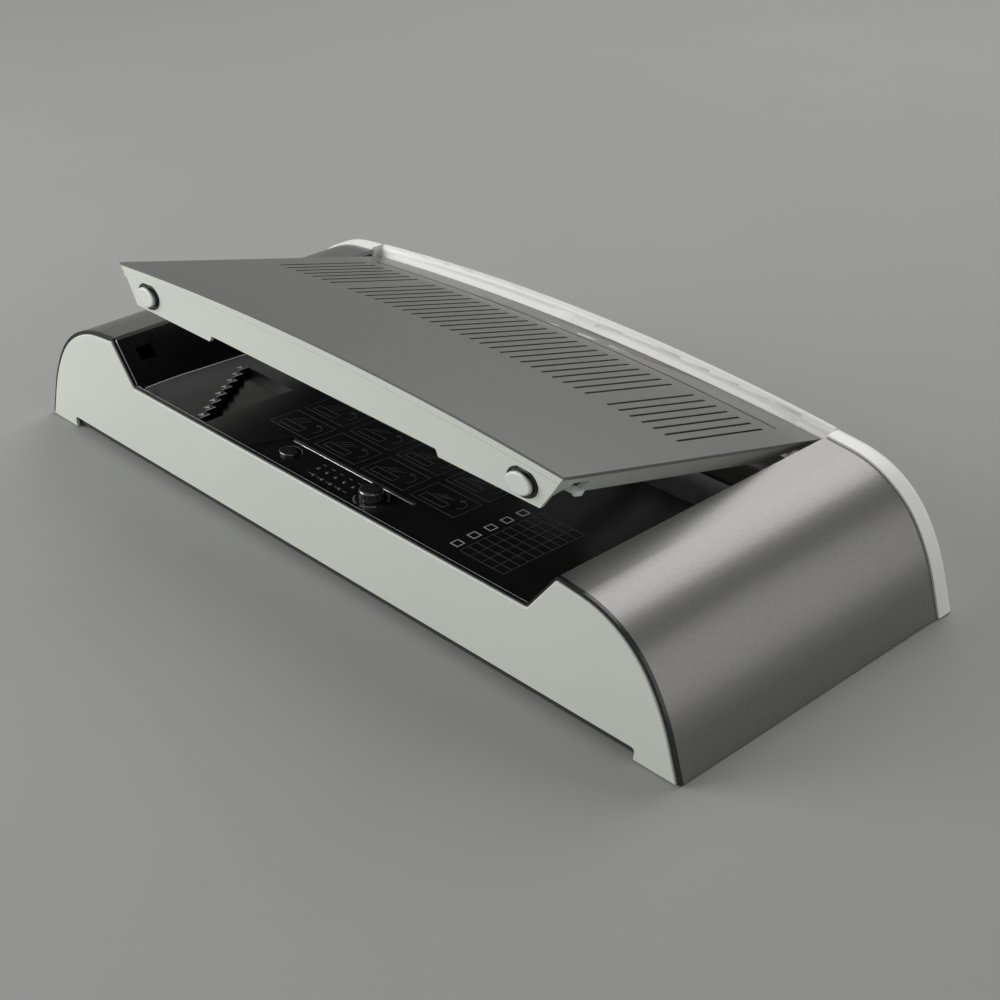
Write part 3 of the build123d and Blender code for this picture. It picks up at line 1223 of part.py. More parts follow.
def release_button():
    """Right release button: an oval cap with a flange inside the face and a stem to the latch."""
    inner = button_inner_depth()
    cap = Pos(0, 0, -inner) * extrude(button_oval(0.0), amount=BUTTON_PROUD + inner)
    cap = fillet(cap.edges().group_by(Axis.Z)[-1], 1.2)
    cap += Pos(0, 0, -inner - BUTTON_FLANGE) * extrude(button_oval(BUTTON_FLANGE_LAP), amount=BUTTON_FLANGE)
    stem = Pos(0, 0, -30) * extrude(Circle(BUTTON_STEM_RADIUS), amount=30 - inner)
    stem = button_axis() * stem
    stem &= block(0, FAR, -FAR, LATCH_FACE_Y - LATCH_STEM_GAP, 0, FAR)
    return button_axis() * cap + stem


def latch_hook():
    """Right latch: a plate on a cross pin, with a C-shaped nose that reaches out through the lid's side."""
    x_low = BUTTON_X - LATCH_PLATE_HALF
    x_high = BUTTON_X + LATCH_PLATE_HALF
    back_y = LATCH_FACE_Y + LATCH_PLATE_THICKNESS
    body = block(x_low, x_high, LATCH_FACE_Y, back_y, LATCH_BOTTOM_Z, LATCH_PIVOT_Z)
    body += cross_rod(x_low, x_high, LATCH_PIVOT_Y, LATCH_PIVOT_Z, LATCH_BARREL_RADIUS)
    low = LATCH_BOTTOM_Z + LATCH_NOSE_RISE
    high = low + LATCH_NOSE_HEIGHT
    tip = LATCH_REACH_X - LATCH_NOSE_HEIGHT * DIP_SLOPE / 2
    nose = Polyline((x_high - 1, low), (tip, low), (LATCH_REACH_X, high), (x_high - 1, high), close=True)
    front = LATCH_FACE_Y - LATCH_NOSE_WIDTH + LATCH_PLATE_THICKNESS
    body += across(make_face(nose), front, front + LATCH_NOSE_WIDTH)
    throat = LATCH_NOSE_WIDTH / 3
    body -= block(x_high + 5, tip - 2, front - 1, front + throat, low - 1, high + 1)
    return body - cross_rod(0, FAR, LATCH_PIVOT_Y, LATCH_PIVOT_Z, LATCH_PIN_RADIUS + PIN_CLEARANCE)


def latch_pins():
    """Cross pins of the two latches, held in the cheeks of the lining."""
    half = LATCH_PLATE_HALF + LATCH_SIDE_GAP + LATCH_CHEEK
    pin = cross_rod(BUTTON_X - half, BUTTON_X + half, LATCH_PIVOT_Y, LATCH_PIVOT_Z, LATCH_PIN_RADIUS)
    return Compound(children=[pin, mirror(pin, Plane.YZ)])


def opened(shape):
    """Turn a lid piece about the hinge line, from level to its open angle."""
    hinge = Pos(0, HINGE_Y, HINGE_Z)
    return hinge * Rot(-LID_OPEN_ANGLE, 0, 0) * hinge.inverse() * shape


def save(name, shape):
    """Write one sub-part."""
    shape.label = name
    export_step(shape, f"parts/{name}.step")


def main():
    """Build and write every sub-part."""
    save("base_tub", base_tub())
    save("front_fascia", front_fascia())
    save("edge_trim", edge_trim())
    save("left_side_panel", side_panel(-1))
    save("right_side_panel", side_panel(1))
    save("tray", tray())
    save("left_cheek", cheek(-1))
    save("right_cheek", cheek(1))
    save("rear_shell", rear_shell())
    save("mains_inlet", mains_inlet())
    save("heating_trough", heating_trough())
    save("heating_element", heating_element())
    save("trough_insulation", trough_insulation())
    save("thermal_cutout", thermal_cutout())
    save("temperature_sensor", temperature_sensor())
    save("power_board", power_board())
    save("control_panel", control_panel())
    save("indicator_lenses", indicator_lenses())
    save("control_board", control_board())
    save("power_switch", power_switch())
    save("selector_encoder", selector_encoder())
    save("power_button", power_button())
    save("selector_dial", selector_dial())
    save("left_hinge_bracket", hinge_bracket(-1))
    save("right_hinge_bracket", hinge_bracket(1))
    save("rubber_feet", rubber_feet())
    save("base_screws", base_screws())
    save("lid_panel", opened(lid_panel()))
    save("lid_frame", opened(lid_frame()))
    save("lid_liner", opened(lid_liner()))
    save("lid_rear_rim", lid_rear_rim())
    save("hinge_pins", hinge_pins())
    save("latch_pins", opened(latch_pins()))
    save("right_release_button", opened(release_button()))
    save("left_release_button", opened(mirror(release_button(), Plane.YZ)))
    save("right_latch_hook", opened(latch_hook()))
    save("left_latch_hook", opened(mirror(latch_hook(), Plane.YZ)))


main()
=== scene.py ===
"""Dresses the thermal binding machine: finishes, tray printing, floor, light and camera."""

import json
import logging
import math
from dataclasses import dataclass, field
from enum import Enum
from typing import Callable

import bmesh
import bpy
from mathutils import Matrix, Vector


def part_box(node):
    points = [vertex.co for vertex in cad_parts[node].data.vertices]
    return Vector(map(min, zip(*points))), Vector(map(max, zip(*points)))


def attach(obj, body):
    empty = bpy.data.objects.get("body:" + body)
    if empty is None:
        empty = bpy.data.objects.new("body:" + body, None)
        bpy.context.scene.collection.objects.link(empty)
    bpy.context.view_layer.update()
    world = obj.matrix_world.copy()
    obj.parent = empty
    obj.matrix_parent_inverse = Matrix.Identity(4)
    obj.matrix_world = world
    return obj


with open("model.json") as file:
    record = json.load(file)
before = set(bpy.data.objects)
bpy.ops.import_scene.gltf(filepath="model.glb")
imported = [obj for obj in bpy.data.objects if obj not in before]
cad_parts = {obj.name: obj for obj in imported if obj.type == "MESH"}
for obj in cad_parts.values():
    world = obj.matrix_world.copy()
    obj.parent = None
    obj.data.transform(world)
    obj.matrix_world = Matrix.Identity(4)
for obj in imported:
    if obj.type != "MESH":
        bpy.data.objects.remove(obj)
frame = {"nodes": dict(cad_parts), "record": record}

LOG = logging.getLogger("binder")
MM = 0.001

COAT_ROUGHNESS = 0.06
BUMP_DISTANCE = 0.0001
DUST_DULLING = 1.5
BEAD_SIDES = 8
BAND_SIDES = 48
FLOOR_SIDES = 96
SENSOR_WIDTH = 36.0

Point = tuple[float, float]
Colour = tuple[float, float, float, float]


class Body(Enum):
    """CAD bodies that dressed pieces ride on."""

    CASE = "case"
    LID = "lid"
    BUTTON_RIGHT = "button_right"
    BUTTON_LEFT = "button_left"


class SharedGroup(Enum):
    """Shader node groups used by more than one finish."""

    GRAIN = "moulding_grain"
    BRUSH = "brushed_lines"
    FLAKE = "paint_flake"
    DUST = "settled_dust"


def grey(level: float, warm: float = 0.0) -> Colour:
    """A near-neutral colour; warm above 0 leans it to yellow."""
    return (level * (1 + warm), level, level * (1 - warm), 1.0)


def greenish(level: float) -> Colour:
    """The studio's grey, a little green."""
    return (level * 0.99, level, level * 0.96, 1.0)


# ---------------------------------------------------------------- shared effects


@dataclass
class GroupMaker:
    """Builds one shader node group with named sockets.

    Args:
        kind: which shared effect is built.
        inputs: socket names with their default values.
        outputs: names of the value sockets put out.
    """

    kind: SharedGroup
    inputs: dict[str, float]
    outputs: tuple[str, ...]
    tree: bpy.types.NodeTree = field(init=False)

    def __post_init__(self) -> None:
        """Makes the tree, its sockets and its end nodes."""
        self.tree = bpy.data.node_groups.new(self.kind.value, "ShaderNodeTree")
        for name, value in self.inputs.items():
            socket = self.tree.interface.new_socket(name, in_out="INPUT", socket_type="NodeSocketFloat")
            socket.default_value = value
        for name in self.outputs:
            self.tree.interface.new_socket(name, in_out="OUTPUT", socket_type="NodeSocketFloat")
        self.start = self.tree.nodes.new("NodeGroupInput")
        self.end = self.tree.nodes.new("NodeGroupOutput")

    def node(self, kind: str, **settings: object) -> bpy.types.Node:
        """Adds a node and sets its properties.

        Args:
            kind: Blender's node type.
            settings: properties to set on it.

        Returns:
            The new node.
        """
        made = self.tree.nodes.new(kind)
        for name, value in settings.items():
            setattr(made, name, value)
        return made

    def link(self, source: bpy.types.NodeSocket, target: bpy.types.NodeSocket) -> None:
        """Joins two sockets."""
        self.tree.links.new(source, target)


def make_grain() -> bpy.types.NodeTree:
    """Fine spark-eroded grain of a moulded surface.

    Returns:
        A group with Scale in, and Height and Tone out.
    """
    maker = GroupMaker(SharedGroup.GRAIN, {"Scale": 2600.0}, ("Height", "Tone"))
    place = maker.node("ShaderNodeTexCoord")
    fine = maker.node("ShaderNodeTexNoise")
    fine.inputs["Detail"].default_value = 3.0
    broad = maker.node("ShaderNodeTexNoise")
    broad.inputs["Scale"].default_value = 9.0
    maker.link(place.outputs["Object"], fine.inputs["Vector"])
    maker.link(place.outputs["Object"], broad.inputs["Vector"])
    maker.link(maker.start.outputs["Scale"], fine.inputs["Scale"])
    maker.link(fine.outputs["Fac"], maker.end.inputs["Height"])
    maker.link(broad.outputs["Fac"], maker.end.inputs["Tone"])
    return maker.tree


def make_brush() -> bpy.types.NodeTree:
    """Fine lines that a rolled or brushed metal has along the width of the machine.

    Returns:
        A group with Scale and Stretch in, and Height and Tone out.
    """
    maker = GroupMaker(SharedGroup.BRUSH, {"Scale": 900.0, "Stretch": 0.02}, ("Height", "Tone"))
    place = maker.node("ShaderNodeTexCoord")
    stretch = maker.node("ShaderNodeCombineXYZ")
    stretch.inputs["Y"].default_value = 1.0
    stretch.inputs["Z"].default_value = 1.0
    product = maker.node("ShaderNodeVectorMath", operation="MULTIPLY")
    lines = maker.node("ShaderNodeTexNoise")
    lines.inputs["Detail"].default_value = 4.0
    maker.link(maker.start.outputs["Stretch"], stretch.inputs["X"])
    maker.link(place.outputs["Object"], product.inputs[0])
    maker.link(stretch.outputs[0], product.inputs[1])
    maker.link(product.outputs[0], lines.inputs["Vector"])
    maker.link(maker.start.outputs["Scale"], lines.inputs["Scale"])
    maker.link(lines.outputs["Fac"], maker.end.inputs["Height"])
    maker.link(lines.outputs["Fac"], maker.end.inputs["Tone"])
    return maker.tree


def make_flake() -> bpy.types.NodeTree:
    """Tiny bright flakes held in a metallic paint.

    Returns:
        A group with Scale in, and Sparkle and Height out.
    """
    maker = GroupMaker(SharedGroup.FLAKE, {"Scale": 1500.0}, ("Sparkle", "Height"))
    place = maker.node("ShaderNodeTexCoord")
    cells = maker.node("ShaderNodeTexVoronoi")
    spread = maker.node("ShaderNodeMapRange")
    spread.inputs["From Max"].default_value = 1.0
    spread.inputs["To Min"].default_value = 0.82
    spread.inputs["To Max"].default_value = 1.18
    split = maker.node("ShaderNodeSeparateColor")
    maker.link(place.outputs["Object"], cells.inputs["Vector"])
    maker.link(maker.start.outputs["Scale"], cells.inputs["Scale"])
    maker.link(cells.outputs["Color"], split.inputs["Color"])
    maker.link(split.outputs["Red"], spread.inputs["Value"])
    maker.link(spread.outputs["Result"], maker.end.inputs["Sparkle"])
    maker.link(cells.outputs["Distance"], maker.end.inputs["Height"])
    return maker.tree


def make_dust() -> bpy.types.NodeTree:
    """Thin dust on the faces that look upwards, thicker in patches.

    Returns:
        A group with Amount in, and a Mask out.
    """
    maker = GroupMaker(SharedGroup.DUST, {"Amount": 0.05}, ("Mask",))
    place = maker.node("ShaderNodeTexCoord")
    facing = maker.node("ShaderNodeSeparateXYZ")
    geometry = maker.node("ShaderNodeNewGeometry")
    up = maker.node("ShaderNodeMapRange", clamp=True)
    up.inputs["From Min"].default_value = 0.35
    patches = maker.node("ShaderNodeTexNoise")
    patches.inputs["Scale"].default_value = 60.0
    patches.inputs["Detail"].default_value = 6.0
    both = maker.node("ShaderNodeMath", operation="MULTIPLY")
    scaled = maker.node("ShaderNodeMath", operation="MULTIPLY")
    maker.link(geometry.outputs["Normal"], facing.inputs[0])
    maker.link(facing.outputs["Z"], up.inputs["Value"])
    maker.link(place.outputs["Object"], patches.inputs["Vector"])
    maker.link(up.outputs["Result"], both.inputs[0])
    maker.link(patches.outputs["Fac"], both.inputs[1])
    maker.link(both.outputs[0], scaled.inputs[0])
    maker.link(maker.start.outputs["Amount"], scaled.inputs[1])
    maker.link(scaled.outputs[0], maker.end.inputs["Mask"])
    return maker.tree


GROUP_MAKERS: dict[SharedGroup, Callable[[], bpy.types.NodeTree]] = {
    SharedGroup.GRAIN: make_grain,
    SharedGroup.BRUSH: make_brush,
    SharedGroup.FLAKE: make_flake,
    SharedGroup.DUST: make_dust,
}


def shared(kind: SharedGroup) -> bpy.types.NodeTree:
    """The tree of a shared effect, made the first time it is asked for."""
    return bpy.data.node_groups.get(kind.value) or GROUP_MAKERS[kind]()


# ---------------------------------------------------------------- finishes


@dataclass(frozen=True)
class Finish:
    """One surface finish.

    Args:
        name: name of the material.
        colour: its base colour.
        roughness: how far reflections are spread.
        metallic: 1 for bare metal, less for metallic paint.
        coat: weight of the clear coat.
        effect: the shared effect that gives its texture.
        effect_scale: size of that texture, larger is finer.
        bump: how deep the texture reads.
        tone: how much the texture changes the colour.
        dust: how much dust has settled on it.
    """

    name: str
    colour: Colour
    roughness: float
    metallic: float = 0.0
    coat: float = 0.0
    effect: SharedGroup = SharedGroup.GRAIN
    effect_scale: float = 2600.0
    bump: float = 0.1
    tone: float = 0.05
    dust: float = 0.0

    def build(self) -> bpy.types.Material:
        """Makes the material, or returns it if it exists.

        Returns:
            The material.
        """
        known = bpy.data.materials.get(self.name)
        if known:
            return known
        material = bpy.data.materials.new(self.name)
        material.use_nodes = True
        nodes = material.node_tree.nodes
        shader = nodes["Principled BSDF"]
        shader.inputs["Roughness"].default_value = self.roughness
        shader.inputs["Metallic"].default_value = self.metallic
        shader.inputs["Coat Weight"].default_value = self.coat
        shader.inputs["Coat Roughness"].default_value = COAT_ROUGHNESS
        self._texture(material, shader)
        return material

    def _texture(self, material: bpy.types.Material, shader: bpy.types.Node) -> None:
        """Places the shared effect and feeds it to colour and normal, with dust over it where there is any.

        Args:
            material: the material being made.
            shader: its principled shader.
        """
        nodes, links = material.node_tree.nodes, material.node_tree.links
        effect = nodes.new("ShaderNodeGroup")
        effect.node_tree = shared(self.effect)
        effect.inputs["Scale"].default_value = self.effect_scale
        tone = effect.outputs["Sparkle" if self.effect is SharedGroup.FLAKE else "Tone"]
        spread = nodes.new("ShaderNodeMapRange")
        spread.inputs["To Min"].default_value = 1.0 - self.tone
        spread.inputs["To Max"].default_value = 1.0 + self.tone
        links.new(tone, spread.inputs["Value"])
        tint = nodes.new("ShaderNodeMix")
        tint.data_type = "RGBA"
        tint.blend_type = "MULTIPLY"
        tint.inputs["Factor"].default_value = 1.0
        tint.inputs["A"].default_value = self.colour
        links.new(spread.outputs["Result"], tint.inputs["B"])
        surface = tint.outputs["Result"]
        if self.dust:
            surface = self._dusted(material, shader, surface)
        links.new(surface, shader.inputs["Base Color"])
        bump = nodes.new("ShaderNodeBump")
        bump.inputs["Strength"].default_value = self.bump
        bump.inputs["Distance"].default_value = BUMP_DISTANCE
        links.new(effect.outputs["Height"], bump.inputs["Height"])
        links.new(bump.outputs["Normal"], shader.inputs["Normal"])

    def _dusted(
        self, material: bpy.types.Material, shader: bpy.types.Node, colour: bpy.types.NodeSocket
    ) -> bpy.types.NodeSocket:
        """Lays dust over a colour and dulls the surface where it lies.

        Args:
            material: the material being made.
            shader: its principled shader.
            colour: the colour under the dust.

        Returns:
            The colour with the dust on it.
        """
        nodes, links = material.node_tree.nodes, material.node_tree.links
        dust = nodes.new("ShaderNodeGroup")
        dust.node_tree = shared(SharedGroup.DUST)
        dust.inputs["Amount"].default_value = self.dust
        film = nodes.new("ShaderNodeMix")
        film.data_type = "RGBA"
        film.inputs["B"].default_value = grey(0.42, 0.02)
        links.new(dust.outputs["Mask"], film.inputs["Factor"])
        links.new(colour, film.inputs["A"])
        dull = nodes.new("ShaderNodeMath")
        dull.operation = "MULTIPLY_ADD"
        dull.inputs[1].default_value = DUST_DULLING
        dull.inputs[2].default_value = self.roughness
        links.new(dust.outputs["Mask"], dull.inputs[0])
        links.new(dull.outputs[0], shader.inputs["Roughness"])
        return film.outputs["Result"]


PALE = Finish(
    "pale_moulding", (0.665, 0.685, 0.628, 1.0), 0.40,
    effect_scale=2200.0, bump=0.10, tone=0.035, dust=0.02,
)
WHITE = Finish("white_moulding", (0.92, 0.92, 0.895, 1.0), 0.34, bump=0.06, tone=0.02)
METALLIC = Finish(
    "metallic_paint", grey(0.150, 0.012), 0.33, metallic=0.75, coat=0.10,
    effect=SharedGroup.FLAKE, effect_scale=1300.0, bump=0.16, tone=0.42,
)
GLOSS_BLACK = Finish("gloss_black", grey(0.007), 0.08, coat=0.4, bump=0.015, tone=0.1, dust=0.010)
CASE_BLACK = Finish("case_black", grey(0.03), 0.55, bump=0.3)
LINING_BLACK = Finish("lining_black", grey(0.022), 0.5, bump=0.25)
ALUMINIUM = Finish(
    "bare_aluminium", grey(0.56), 0.34, metallic=1.0,
    effect=SharedGroup.BRUSH, effect_scale=900.0, bump=0.2, tone=0.12,
)
STEEL = Finish(
    "plated_steel", grey(0.48), 0.28, metallic=1.0,
    effect=SharedGroup.BRUSH, effect_scale=1200.0, bump=0.12, tone=0.08,
)
RUBBER = Finish("foot_rubber", grey(0.03), 0.8, bump=0.5)
BOARD = Finish("solder_mask", (0.02, 0.12, 0.05, 1.0), 0.35, coat=0.3, bump=0.05, tone=0.15)
HEAT_BOARD = Finish("heat_board", grey(0.6, 0.08), 0.85, effect_scale=700.0, bump=0.6, tone=0.2)
LENS = Finish("lamp_lens", (0.15, 0.145, 0.13, 1.0), 0.12, coat=0.5, bump=0.02)
CONTROL_GREY = Finish("control_chrome", grey(0.16), 0.22, metallic=0.85, coat=0.3, bump=0.04, tone=0.08)
BUTTON_SATIN = Finish("button_satin", (0.72, 0.735, 0.69, 1.0), 0.24, coat=0.25, bump=0.04, tone=0.02)
PRINT_WHITE = Finish("tray_print", grey(0.58), 0.5, bump=0.1)
PRINT_FAINT = Finish("tray_print_faint", grey(0.085), 0.4, bump=0.1)
PRINT_GREY = Finish("tray_print_grey", grey(0.20), 0.4, bump=0.1)
# Black ring round each release button's hole: painted shade, for the shadow and the dark gap round the
# button.
SHADE_RING_BLACK = Finish("button_shade_ring", grey(0.012), 0.35, bump=0.05)
# Dark polished band on a release button's sides: painted shade where those sides fall into shadow.
SHADE_CHROME = Finish("painted_shade_chrome", grey(0.10), 0.16, metallic=0.9, coat=0.3, bump=0.02)
# Bright grey of the thin beads along edges: painted highlight, where those edges catch the light.
PAINTED_HIGHLIGHT = Finish("painted_highlight_edge", grey(0.72), 0.22, metallic=0.35, coat=0.6, bump=0.01, tone=0.03)

FINISH_OF_SLOT: dict[str, Finish] = {
    "plastic_pale": PALE,
    "plastic_white": WHITE,
    "plastic_black": LINING_BLACK,
    "plastic_case": CASE_BLACK,
    "gloss_black": GLOSS_BLACK,
    "metal_paint": METALLIC,
    "bare_aluminium": ALUMINIUM,
    "steel": STEEL,
    "insulation": HEAT_BOARD,
    "board": BOARD,
    "lens": LENS,
    "button_grey": CONTROL_GREY,
    "button_white": BUTTON_SATIN,
    "rubber": RUBBER,
}


# ---------------------------------------------------------------- what every sub-assembly does


def piece_from(
    shape: bmesh.types.BMesh, name: str, finish: Finish, body: Body
) -> bpy.types.Object:
    """Turns a worked mesh into a dressed piece that rides on its body.

    Args:
        shape: the mesh being worked, which is freed.
        name: name of the piece.
        finish: its finish.
        body: CAD body it rides on.

    Returns:
        The new object.
    """
    bmesh.ops.recalc_face_normals(shape, faces=shape.faces)
    data = bpy.data.meshes.new(name)
    shape.to_mesh(data)
    shape.free()
    made = bpy.data.objects.new(name, data)
    bpy.context.scene.collection.objects.link(made)
    data.materials.append(finish.build())
    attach(made, body.value)
    LOG.info("%s: %d faces on %s", name, len(data.polygons), body.value)
    return made


def bead(route: list[Vector], radius: float, name: str, finish: Finish, body: Body) -> bpy.types.Object:
    """Sweeps a thin round bead along a route.

    Args:
        route: the points it follows, in millimetres.
        radius: its radius.
        name: name of the piece.
        finish: its finish.
        body: CAD body it rides on.

    Returns:
        The bead.
    """
    shape = bmesh.new()
    rings = []
    for index, spot in enumerate(route):
        along = (route[min(index + 1, len(route) - 1)] - route[max(index - 1, 0)]).normalized()
        first = (first - along * first.dot(along)).normalized() if rings else along.orthogonal().normalized()
        second = along.cross(first)
        turns = [math.tau * turn / BEAD_SIDES for turn in range(BEAD_SIDES)]
        ring = [spot + (first * math.cos(turn) + second * math.sin(turn)) * radius for turn in turns]
        rings.append([shape.verts.new(place * MM) for place in ring])
    for before, after in zip(rings, rings[1:]):
        for index in range(BEAD_SIDES):
            other = (index + 1) % BEAD_SIDES
            shape.faces.new((before[index], before[other], after[other], after[index]))
    shape.faces.new(list(reversed(rings[0])))
    shape.faces.new(rings[-1])
    for face in shape.faces:
        face.smooth = len(face.verts) == 4
    return piece_from(shape, name, finish, body)


@dataclass
class Assembly:
    """A sub-assembly: CAD nodes that are dressed, and pieces that are added to them.

    Args:
        nodes: names of its CAD nodes.
    """

    nodes: tuple[str, ...] = ()

    def dress(self) -> int:
        """Gives each CAD node of the sub-assembly the finish of its material slot.

        Returns:
            How many nodes were dressed.
        """
        slots = {row["node"]: row["material_slot"] for row in frame["record"]["subparts"]}
        for name in self.nodes:
            node = frame["nodes"][name]
            material = FINISH_OF_SLOT[slots[name]].build()
            if not node.material_slots:
                node.data.materials.append(material)
            for place in node.material_slots:
                place.material = material
            LOG.info("%s takes %s", name, material.name)
        return len(self.nodes)

    def pieces(self) -> list[bpy.types.Object]:
        """The pieces added to the CAD nodes; none unless a sub-assembly says so."""
        return []


@dataclass
class CaseShell(Assembly):
    """Outer case: mouldings, painted side sheets, rear moulding, feet and screws."""

    nodes: tuple[str, ...] = (
        "base_tub", "front_fascia", "edge_trim", "left_side_panel", "right_side_panel",
        "rear_shell", "mains_inlet", "rubber_feet", "base_screws",
    )


@dataclass
class BindingChamber(Assembly):
    """Heated trough with its heater, sensors and power board."""

    nodes: tuple[str, ...] = (
        "heating_trough", "heating_element", "trough_insulation", "thermal_cutout",
        "temperature_sensor", "power_board",
    )


# ---------------------------------------------------------------- tray printing


@dataclass
class Strokes:
    """A set of thin raised strokes of ink that follow the tray deck.

    Args:
        name: name of the piece.
        finish: its finish.
        surface: height of what it is printed on, in millimetres, at a place (x, y).
        body: CAD body it rides on.
        thickness: height of the ink.
        reach: longest stretch laid down straight, so that a stroke follows a bent deck.
    """

    name: str
    finish: Finish
    surface: Callable[[float, float], float]
    body: Body = Body.CASE
    thickness: float = 0.06
    reach: float = 5.0
    mesh: bmesh.types.BMesh = field(default_factory=bmesh.new)

    def fill(self, outline: list[Point]) -> None:
        """Adds one convex patch of ink.

        Args:
            outline: its corners, anticlockwise, in millimetres.
        """
        low, high = [], []
        for x, y in outline:
            z = self.surface(x, y)
            low.append(self.mesh.verts.new(Vector((x, y, z)) * MM))
            high.append(self.mesh.verts.new(Vector((x, y, z + self.thickness)) * MM))
        count = len(outline)
        self.mesh.faces.new(high)
        self.mesh.faces.new(list(reversed(low)))
        for index in range(count):
            after = (index + 1) % count
            self.mesh.faces.new((low[index], low[after], high[after], high[index]))

    def line(self, start: Point, end: Point, width: float) -> None:
        """Adds one straight stroke.

        Args:
            start: its first end.
            end: its other end.
            width: its width.
        """
        a, b = Vector(start), Vector(end)
        side = Vector((a.y - b.y, b.x - a.x)).normalized() * (width / 2)
        count = max(1, math.ceil((b - a).length / self.reach))
        for index in range(count):
            near, far = a.lerp(b, index / count), a.lerp(b, (index + 1) / count)
            self.fill([tuple(near - side), tuple(far - side), tuple(far + side), tuple(near + side)])

    def frame_box(self, low: Point, high: Point, width: float) -> None:
        """Adds the four sides of a box, butted so that no two strokes overlap."""
        half = width / 2
        self.line((low[0] - half, low[1]), (high[0] + half, low[1]), width)
        self.line((low[0] - half, high[1]), (high[0] + half, high[1]), width)
        self.line((low[0], low[1] + half), (low[0], high[1] - half), width)
        self.line((high[0], low[1] + half), (high[0], high[1] - half), width)

    def arc(
        self, centre: Point, radius: float, start: float, end: float, width: float, steps: int = 14
    ) -> None:
        """Adds a round stroke.

        Args:
            centre: centre of its circle.
            radius: middle radius of the stroke.
            start: first angle, in degrees.
            end: last angle, in degrees.
            width: its width.
            steps: how many short pieces make it.
        """
        def spot(angle: float, size: float) -> Point:
            """A point of the stroke."""
            turn = math.radians(angle)
            return (centre[0] + size * math.cos(turn), centre[1] + size * math.sin(turn))

        gap = 0.02
        for index in range(steps):
            a = start + (end - start) * (index + gap) / steps
            b = start + (end - start) * (index + 1 - gap) / steps
            inner, outer = radius - width / 2, radius + width / 2
            self.fill([spot(a, inner), spot(a, outer), spot(b, outer), spot(b, inner)])

    def finish_piece(self) -> bpy.types.Object:
        """Turns the strokes into a piece of a material slot."""
        return piece_from(self.mesh, self.name, self.finish, self.body)


